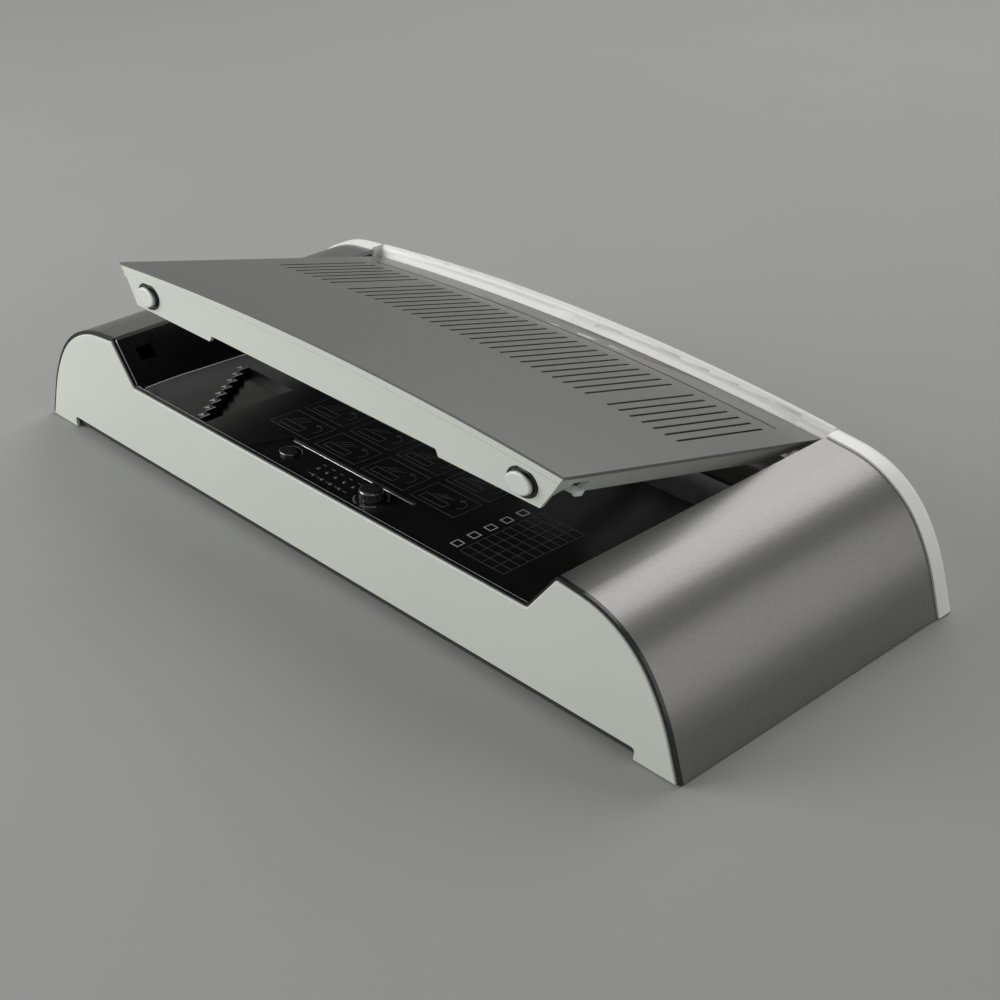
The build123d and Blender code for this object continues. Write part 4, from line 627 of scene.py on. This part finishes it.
@dataclass
class TrayDeck(Assembly):
    """Paper tray: its deck, sloping cheeks, printing and the bright beads of painted highlight along its
    edges, in millimetres.

    Args:
        crease_y: where the fall towards the chamber starts.
        chamber_y: where that fall ends.
        fall: how far the deck falls.
        wall_slope: run of the sloping walls for each millimetre of rise.
        foot_half: half the deck's width at the walls' feet.
        gauge_x: straight side of the thickness gauge.
        gauge_y: front of the gauge.
        gauge_first: width of its first step.
        step_x: run of each step.
        step_y: depth of each step.
        steps: number of steps.
        table_low: front left corner of the size table.
        table_high: rear right corner of the size table.
        table_columns: columns of the size table.
        table_rows: rows of the size table.
        rule_width: width of its lines.
        rule_gap: space between a line across it and the next line up.
        heads: number of header boxes beside it.
        head_pitch: spacing of the header boxes.
        cells: number of instruction cells.
        cells_across: how many of them stand in a row.
        cell: width and depth of an instruction cell.
        cell_pitch: spacing of the instruction cells.
        cell_start: front left corner of the first one.
        edge_y: depth at which the front lip runs.
        lip_half: half the lip's length along the deck.
        lip_rise: how far the lip stands above the deck.
        wall_rise: how far the lip climbs the sloping walls.
        bead_radius: radius of the bright beads of painted highlight on the lip and at the walls' feet.
        ledge_inset: how far a wall's bead stops short of the lip and the chamber.
        ledge_parts: stretches in a wall's bead.
        lip_parts: stretches in each straight run of the lip.
    """

    nodes: tuple[str, ...] = ("tray", "left_cheek", "right_cheek")
    crease_y: float = -76.0
    chamber_y: float = 30.0
    fall: float = 3.0
    wall_slope: float = 0.811
    foot_half: float = 162.3
    gauge_x: float = -101.5
    gauge_y: float = -101.0
    gauge_first: float = 6.0
    step_x: float = 5.3
    step_y: float = 7.8
    steps: int = 8
    table_low: Point = (102.5, -93.0)
    table_high: Point = (134.0, -36.0)
    table_columns: int = 4
    table_rows: int = 10
    rule_width: float = 0.4
    rule_gap: float = 0.25
    heads: int = 5
    head_pitch: float = 11.5
    cells: int = 8
    cells_across: int = 4
    cell: Point = (34.0, 20.0)
    cell_pitch: Point = (40.0, 25.0)
    cell_start: Point = (-78.0, -73.0)
    edge_y: float = -104.6
    lip_half: float = 163.9
    lip_rise: float = 1.85
    wall_rise: float = 23.5
    bead_radius: float = 0.42
    ledge_inset: float = 4.0
    ledge_parts: int = 24
    lip_parts: int = 12

    def deck(self, x: float, y: float) -> float:
        """Height of the deck at a place."""
        share = min(max((y - self.crease_y) / (self.chamber_y - self.crease_y), 0.0), 1.0)
        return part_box("tray")[1].z / MM - self.fall * share

    def pieces(self) -> list[bpy.types.Object]:
        """The printing and the beads of painted highlight."""
        printed = [self.gauge_marks(), self.size_table(), self.steps_guide()]
        beads = [self.front_bead(), self.side_bead(-1, "left_ledge_highlight"), self.side_bead(1, "right_ledge_highlight")]
        return printed + beads

    def gauge_marks(self) -> bpy.types.Object:
        """An arrow head and a tick beside each step of the gauge."""
        ink = Strokes("gauge_marks", PRINT_WHITE, self.deck)
        for index in range(self.steps):
            left = self.gauge_x - self.gauge_first - index * self.step_x
            low = self.gauge_y + index * self.step_y
            middle = low + self.step_y / 2
            ink.fill([(left - 4.6, middle - 2.0), (left - 1.2, middle), (left - 4.6, middle + 2.0)])
            ink.line((left - 0.5, low + 0.4), (left - 0.5, low + self.step_y - 0.4), 0.6)
        return ink.finish_piece()

    def size_table(self) -> bpy.types.Object:
        """A blank ruled table at the right end of the tray, with a row of header boxes."""
        ink = Strokes("size_table", PRINT_FAINT, self.deck)
        left, front = self.table_low
        right, rear = self.table_high
        pitch_x = (right - left) / self.table_columns
        pitch_y = (rear - front) / self.table_rows
        for index in range(self.table_columns + 1):
            x = left + pitch_x * index
            ink.line((x, front), (x, rear), self.rule_width)
        for index in range(self.table_rows + 1):
            y = front + pitch_y * index
            for column in range(self.table_columns):
                start = left + pitch_x * column + self.rule_gap
                end = left + pitch_x * (column + 1) - self.rule_gap
                ink.line((start, y), (end, y), self.rule_width)
        boxes = Strokes("size_heads", PRINT_WHITE, self.deck)
        for index in range(self.heads):
            y = front + 1.5 + index * self.head_pitch
            boxes.frame_box((left - 8.5, y), (left - 3.5, y + 5.0), 0.6)
        boxes.finish_piece()
        return ink.finish_piece()

    def steps_guide(self) -> bpy.types.Object:
        """Plain instruction cells: in each a machine, a leaning block of sheets and an arrow."""
        ink = Strokes("steps_guide", PRINT_FAINT, self.deck)
        wide, deep = self.cell
        for index in range(self.cells):
            column, row = index % self.cells_across, index // self.cells_across
            x = self.cell_start[0] + column * self.cell_pitch[0]
            y = self.cell_start[1] + row * self.cell_pitch[1]
            ink.frame_box((x, y), (x + wide, y + deep), 0.45)
            self.cell_drawing(ink, x, y, index)
        return ink.finish_piece()

    def cell_drawing(self, ink: Strokes, x: float, y: float, index: int) -> None:
        """Draws what stands in one instruction cell.

        Args:
            ink: the strokes to add to.
            x: left of the cell.
            y: front of the cell.
            index: which cell it is, which turns the sheets a little further each time.
        """
        ink.frame_box((x + 4, y + 3), (x + 22, y + 8), 0.5)
        lean = math.radians(62 - 9 * (index % self.cells_across))
        rise = (9.0 * math.cos(lean), 9.0 * math.sin(lean))
        for sheet in range(3):
            foot = (x + 7 + 3.2 * sheet, y + 9.5)
            ink.line(foot, (foot[0] + rise[0], foot[1] + rise[1] - 1.0), 0.5)
        ink.arc((x + 26, y + 11), 4.2, -60.0, 110.0, 0.55, steps=8)
        ink.fill([(x + 24.4, y + 13.4), (x + 25.9, y + 16.9), (x + 22.4, y + 15.6)])

    def wall_foot(self, side: int, y: float) -> Vector:
        """The foot of a sloping wall at a depth: it moves inwards as the deck falls."""
        drop = self.deck(0.0, self.gauge_y) - self.deck(0.0, y)
        return Vector((side * (self.foot_half - drop * self.wall_slope), y, self.deck(0.0, y)))

    def side_bead(self, side: int, name: str) -> bpy.types.Object:
        """A bright bead along one wall's foot: a painted highlight on the ridge there.

        Args:
            side: -1 for the left wall, 1 for the right.
            name: name of the bead.

        Returns:
            The bead.
        """
        front, rear = self.edge_y + self.ledge_inset, self.chamber_y - self.ledge_inset
        depths = [front + (rear - front) * index / self.ledge_parts for index in range(self.ledge_parts + 1)]
        route = [self.wall_foot(side, depth) for depth in depths]
        return bead(route, self.bead_radius, name, PAINTED_HIGHLIGHT, Body.CASE)

    def front_bead(self) -> bpy.types.Object:
        """The bright bead of painted highlight along the tray's front lip: down one wall, along the deck and
        up the other.
        """
        half = self.lip_half
        rise = self.wall_rise
        outer = half + rise * self.wall_slope
        top = self.deck(0.0, self.edge_y) + self.lip_rise
        bends = [(-outer, rise), (-half, 0.0), (half, 0.0), (outer, rise)]
        route = []
        for (x0, z0), (x1, z1) in zip(bends, bends[1:]):
            for step in range(self.lip_parts):
                x = x0 + (x1 - x0) * step / self.lip_parts
                z = top + z0 + (z1 - z0) * step / self.lip_parts
                route.append(Vector((x, self.edge_y, z)))
        route.append(Vector((outer, self.edge_y, top + rise)))
        return bead(route, self.bead_radius, "front_lip_highlight", PAINTED_HIGHLIGHT, Body.CASE)


@dataclass
class Controls(Assembly):
    """Control overlay with its button, dial, lamps and board, in millimetres.

    Args:
        power: middle of the power button.
        dial: middle of the dial.
        rear_half: half the width of the bright rear edge, a painted highlight.
        rear_y: where that edge lies.
        lamps_x: where the marks beside the lamps start.
        lamp_pitch: spacing of the lamps.
        lamps: number of lamps.
        mark_reach: how far the marks stand in front of and behind the lamps.
        dial_arc: radius of the arcs round the dial.
        power_arc: radius of the arc by the power button.
        edge_radius: radius of the bright rear edge.
    """

    nodes: tuple[str, ...] = (
        "control_panel", "indicator_lenses", "control_board", "power_switch", "selector_encoder",
        "power_button", "selector_dial",
    )
    power: Point = (-41.0, -89.5)
    dial: Point = (30.0, -89.5)
    rear_half: float = 50.0
    rear_y: float = -78.2
    lamps_x: float = -16.0
    lamp_pitch: float = 7.3
    lamps: int = 5
    mark_reach: float = 5.6
    dial_arc: float = 9.4
    power_arc: float = 8.0
    edge_radius: float = 0.28

    def overlay(self, x: float, y: float) -> float:
        """Height of the control overlay."""
        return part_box("control_panel")[1].z / MM

    def pieces(self) -> list[bpy.types.Object]:
        """Arcs round the dial, an arc by the button, marks beside the lamps and a bright rear edge of
        painted highlight.
        """
        ink = Strokes("control_marks", PRINT_GREY, self.overlay)
        for start, end in ((25.0, 80.0), (100.0, 155.0)):
            ink.arc(self.dial, self.dial_arc, start, end, 1.1)
            ink.arc(self.dial, self.dial_arc, start + 180.0, end + 180.0, 1.1)
        ink.arc(self.power, self.power_arc, 30.0, 150.0, 0.45)
        near, far = self.dial[1] - self.mark_reach, self.dial[1] + self.mark_reach
        for column in range(self.lamps):
            x = self.lamps_x + column * self.lamp_pitch
            ink.line((x, near), (x + 3.0, near), 0.5)
            ink.line((x - 1.0, far), (x + 2.0, far), 0.5)
        top = self.overlay(0.0, 0.0)
        ends = [Vector((side * self.rear_half, self.rear_y, top)) for side in (-1, 1)]
        route = [ends[0].lerp(ends[1], index / 10) for index in range(11)]
        edge = bead(route, self.edge_radius, "overlay_edge_highlight", PAINTED_HIGHLIGHT, Body.CASE)
        return [ink.finish_piece(), edge]


@dataclass
class Lid(Assembly):
    """Hinged lid with its louvred cover, frame, rear rim, hinges, latches and buttons, in millimetres.

    Args:
        face_y: depth of the lid's face at the middle of a button.
        face_z: height of that place.
        half_width: half the width of a button's cap.
        half_height: half its height.
        proud: how far a cap stands out of the face.
        cap_rim: depth of the pale cap in front of its dark skirt of painted shade.
        skirt: thickness of the skirt.
        gap: space between a cap and its hole.
        well: width of the black ring of painted shade round the hole.
        film: how far that ring stands out of the face.
    """

    nodes: tuple[str, ...] = (
        "lid_panel", "lid_frame", "lid_liner", "lid_rear_rim", "hinge_pins", "latch_pins",
        "left_hinge_bracket", "right_hinge_bracket", "right_release_button", "left_release_button",
        "right_latch_hook", "left_latch_hook",
    )
    face_y: float = -98.03
    face_z: float = 110.48
    half_width: float = 8.75
    half_height: float = 5.75
    proud: float = 3.5
    cap_rim: float = 1.3
    skirt: float = 0.2
    gap: float = 0.65
    well: float = 1.2
    film: float = 0.08

    def pieces(self) -> list[bpy.types.Object]:
        """Painted shade round each release button: a dark polished skirt on its sides and a black ring round
        its hole.
        """
        made = []
        rows = {row["name"]: row for row in frame["record"]["behaviour"]["joints"]}
        for side, body in (("right", Body.BUTTON_RIGHT), ("left", Body.BUTTON_LEFT)):
            inwards = Vector(rows[f"{side}_button_press"]["axis"]).normalized()
            low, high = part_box(f"{side}_release_button")
            face = Vector(((low.x + high.x) / 2 / MM, self.face_y, self.face_z))
            up = Vector((1, 0, 0)).cross(inwards).normalized()
            shade_skirt_front = face - inwards * (self.proud - self.cap_rim)
            shade_skirt_walls = (0.0, self.skirt)
            made.append(
                self.band(f"{side}_button_shade_skirt", shade_skirt_front, face, up, shade_skirt_walls, SHADE_CHROME, body)
            )
            shade_ring_front = face - inwards * self.film
            shade_ring_walls = (self.gap, self.gap + self.well)
            made.append(
                self.band(f"{side}_button_shade_ring", shade_ring_front, face, up, shade_ring_walls, SHADE_RING_BLACK, Body.LID)
            )
        return made

    def band(
        self, name: str, near: Vector, far: Vector, up: Vector, grow: Point, finish: Finish, body: Body
    ) -> bpy.types.Object:
        """An oval band round a button.

        Args:
            name: name of the band.
            near: middle of its front.
            far: middle of its back.
            up: the button's upward direction.
            grow: how far its inner and outer walls stand outside the button.
            finish: its finish.
            body: CAD body it rides on.

        Returns:
            The band.
        """
        shape = bmesh.new()
        loops = []
        for middle, size in ((near, grow[0]), (near, grow[1]), (far, grow[1]), (far, grow[0])):
            ring = []
            for index in range(BAND_SIDES):
                turn = math.tau * index / BAND_SIDES
                wide = (self.half_width + size) * math.cos(turn)
                tall = (self.half_height + size) * math.sin(turn)
                ring.append(shape.verts.new((middle + Vector((wide, 0, 0)) + up * tall) * MM))
            loops.append(ring)
        for before, after in zip(loops, loops[1:] + loops[:1]):
            for index in range(BAND_SIDES):
                other = (index + 1) % BAND_SIDES
                shape.faces.new((before[index], before[other], after[other], after[index]))
        return piece_from(shape, name, finish, body)


# ---------------------------------------------------------------- stage


@dataclass(frozen=True)
class Lamp:
    """A square soft lamp.

    Args:
        name: its name.
        place: where it stands.
        size: length of its side.
        power: its power, in watts.
    """

    name: str
    place: Vector
    size: float
    power: float

    def light(self, aim: Vector) -> None:
        """Adds the lamp, turned to a point."""
        data = bpy.data.lights.new(self.name, "AREA")
        data.shape = "SQUARE"
        data.size = self.size
        data.energy = self.power
        lamp = bpy.data.objects.new(self.name, data)
        bpy.context.scene.collection.objects.link(lamp)
        turn = (aim - self.place).to_track_quat("-Z", "Y").to_matrix().to_4x4()
        lamp.matrix_world = Matrix.Translation(self.place) @ turn


LAMPS: tuple[Lamp, ...] = (
    Lamp("key", Vector((-1.15, -1.20, 0.60)), 1.3, 25.0),
    Lamp("top_rear", Vector((-0.45, 1.35, 1.70)), 1.8, 25.0),
    Lamp("low_rear_right", Vector((1.9, 1.2, 0.75)), 1.5, 6.5),
    Lamp("right_fill", Vector((1.9, -0.9, 0.7)), 1.2, 2.2),
)


@dataclass
class Studio:
    """Round floor that melts into an even backdrop, soft lamps and the camera, in metres.

    Args:
        floor_tone: base colour of the floor.
        backdrop_tone: brightness of the backdrop.
        fill: brightness of the surround that lights the machine.
        radius: radius of the floor.
        melt_start: distance at which the floor starts to melt into the backdrop.
        melt_end: distance at which only the backdrop is seen.
        aim: where the lamps point.
        lens: focal length of the camera, in millimetres.
        eye: place of the camera.
        yaw: turn of the camera from straight ahead to the left, in radians.
        pitch: how far it looks down.
        roll: its tilt.
    """

    floor_tone: float = 0.36
    backdrop_tone: float = 0.30
    fill: float = 0.21
    radius: float = 14.0
    melt_start: float = 0.9
    melt_end: float = 2.6
    aim: tuple[float, float, float] = (0.0, 0.0, 0.05)
    lens: float = 65.87
    eye: tuple[float, float, float] = (0.683598, -0.617336, 0.520532)
    yaw: float = 0.810962712
    pitch: float = 0.513992517
    roll: float = -0.00481969972

    def build(self) -> None:
        """Sets the floor, the lamps, the world and the camera."""
        self._floor()
        for lamp in LAMPS:
            lamp.light(Vector(self.aim))
        self._world()
        self._camera()
        bpy.context.scene.view_settings.view_transform = "Standard"

    @staticmethod
    def _seen(nodes: bpy.types.Nodes, links: bpy.types.NodeLinks) -> bpy.types.NodeSocket:
        """Tells what is seen from what only lights the machine.

        Args:
            nodes: nodes of the tree that needs the mask.
            links: links of that tree.

        Returns:
            A mask that is 1 for the camera and for reflections, and 0 for other light.
        """
        path = nodes.new("ShaderNodeLightPath")
        either = nodes.new("ShaderNodeMath")
        either.operation = "MAXIMUM"
        links.new(path.outputs["Is Camera Ray"], either.inputs[0])
        links.new(path.outputs["Is Glossy Ray"], either.inputs[1])
        return either.outputs[0]

    def _floor(self) -> None:
        """A round level floor."""
        shape = bmesh.new()
        bmesh.ops.create_circle(shape, cap_ends=True, segments=FLOOR_SIDES, radius=self.radius)
        data = bpy.data.meshes.new("studio_floor")
        shape.to_mesh(data)
        shape.free()
        floor = bpy.data.objects.new("studio_floor", data)
        bpy.context.scene.collection.objects.link(floor)
        data.materials.append(self._floor_paper())

    def _floor_paper(self) -> bpy.types.Material:
        """Matt paper that takes shadows near the machine and melts into the backdrop further out."""
        paper = Finish("floor_paper", greenish(self.floor_tone), 0.9, bump=0.02, tone=0.02)
        material = paper.build()
        nodes, links = material.node_tree.nodes, material.node_tree.links
        place = nodes.new("ShaderNodeTexCoord")
        distance = nodes.new("ShaderNodeVectorMath")
        distance.operation = "LENGTH"
        links.new(place.outputs["Object"], distance.inputs[0])
        melt = nodes.new("ShaderNodeMapRange")
        melt.interpolation_type = "SMOOTHSTEP"
        melt.inputs["From Min"].default_value = self.melt_start
        melt.inputs["From Max"].default_value = self.melt_end
        links.new(distance.outputs["Value"], melt.inputs["Value"])
        share = nodes.new("ShaderNodeMath")
        share.operation = "MULTIPLY"
        links.new(melt.outputs["Result"], share.inputs[0])
        links.new(self._seen(nodes, links), share.inputs[1])
        glow = nodes.new("ShaderNodeEmission")
        glow.inputs["Color"].default_value = greenish(self.backdrop_tone)
        blend = nodes.new("ShaderNodeMixShader")
        links.new(share.outputs[0], blend.inputs[0])
        links.new(nodes["Principled BSDF"].outputs[0], blend.inputs[1])
        links.new(glow.outputs[0], blend.inputs[2])
        links.new(blend.outputs[0], nodes["Material Output"].inputs["Surface"])
        return material

    def _world(self) -> None:
        """An even surround: the backdrop's grey where it is seen, a dimmer fill as light."""
        world = bpy.data.worlds.new("surround")
        world.use_nodes = True
        nodes, links = world.node_tree.nodes, world.node_tree.links
        light = nodes["Background"]
        light.inputs["Color"].default_value = grey(self.fill)
        backdrop = nodes.new("ShaderNodeBackground")
        backdrop.inputs["Color"].default_value = greenish(self.backdrop_tone)
        blend = nodes.new("ShaderNodeMixShader")
        links.new(self._seen(nodes, links), blend.inputs[0])
        links.new(light.outputs[0], blend.inputs[1])
        links.new(backdrop.outputs[0], blend.inputs[2])
        links.new(blend.outputs[0], nodes["World Output"].inputs["Surface"])
        bpy.context.scene.world = world

    def _camera(self) -> None:
        """A camera that looks down at the front right corner."""
        forward = Vector((
            -math.sin(self.yaw) * math.cos(self.pitch),
            math.cos(self.yaw) * math.cos(self.pitch),
            -math.sin(self.pitch),
        ))
        right = forward.cross(Vector((0, 0, 1))).normalized()
        up = right.cross(forward)
        turned_right = right * math.cos(self.roll) + up * math.sin(self.roll)
        turned_up = up * math.cos(self.roll) - right * math.sin(self.roll)
        basis = Matrix((turned_right, turned_up, -forward)).transposed().to_4x4()
        data = bpy.data.cameras.new("camera")
        data.sensor_width = SENSOR_WIDTH
        data.lens = self.lens
        camera = bpy.data.objects.new("camera", data)
        bpy.context.scene.collection.objects.link(camera)
        camera.matrix_world = Matrix.Translation(Vector(self.eye)) @ basis
        bpy.context.scene.camera = camera


def main() -> None:
    """Builds the sub-assemblies in order."""
    logging.basicConfig(level=logging.INFO)
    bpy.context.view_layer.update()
    dressed = 0
    for assembly in (CaseShell(), TrayDeck(), BindingChamber(), Controls(), Lid()):
        dressed += assembly.dress()
        added = assembly.pieces()
        LOG.info("%s: %d pieces added", type(assembly).__name__, len(added))
    LOG.info("%d of %d nodes dressed", dressed, len(frame["nodes"]))
    Studio().build()


if __name__ == "__main__":
    main()
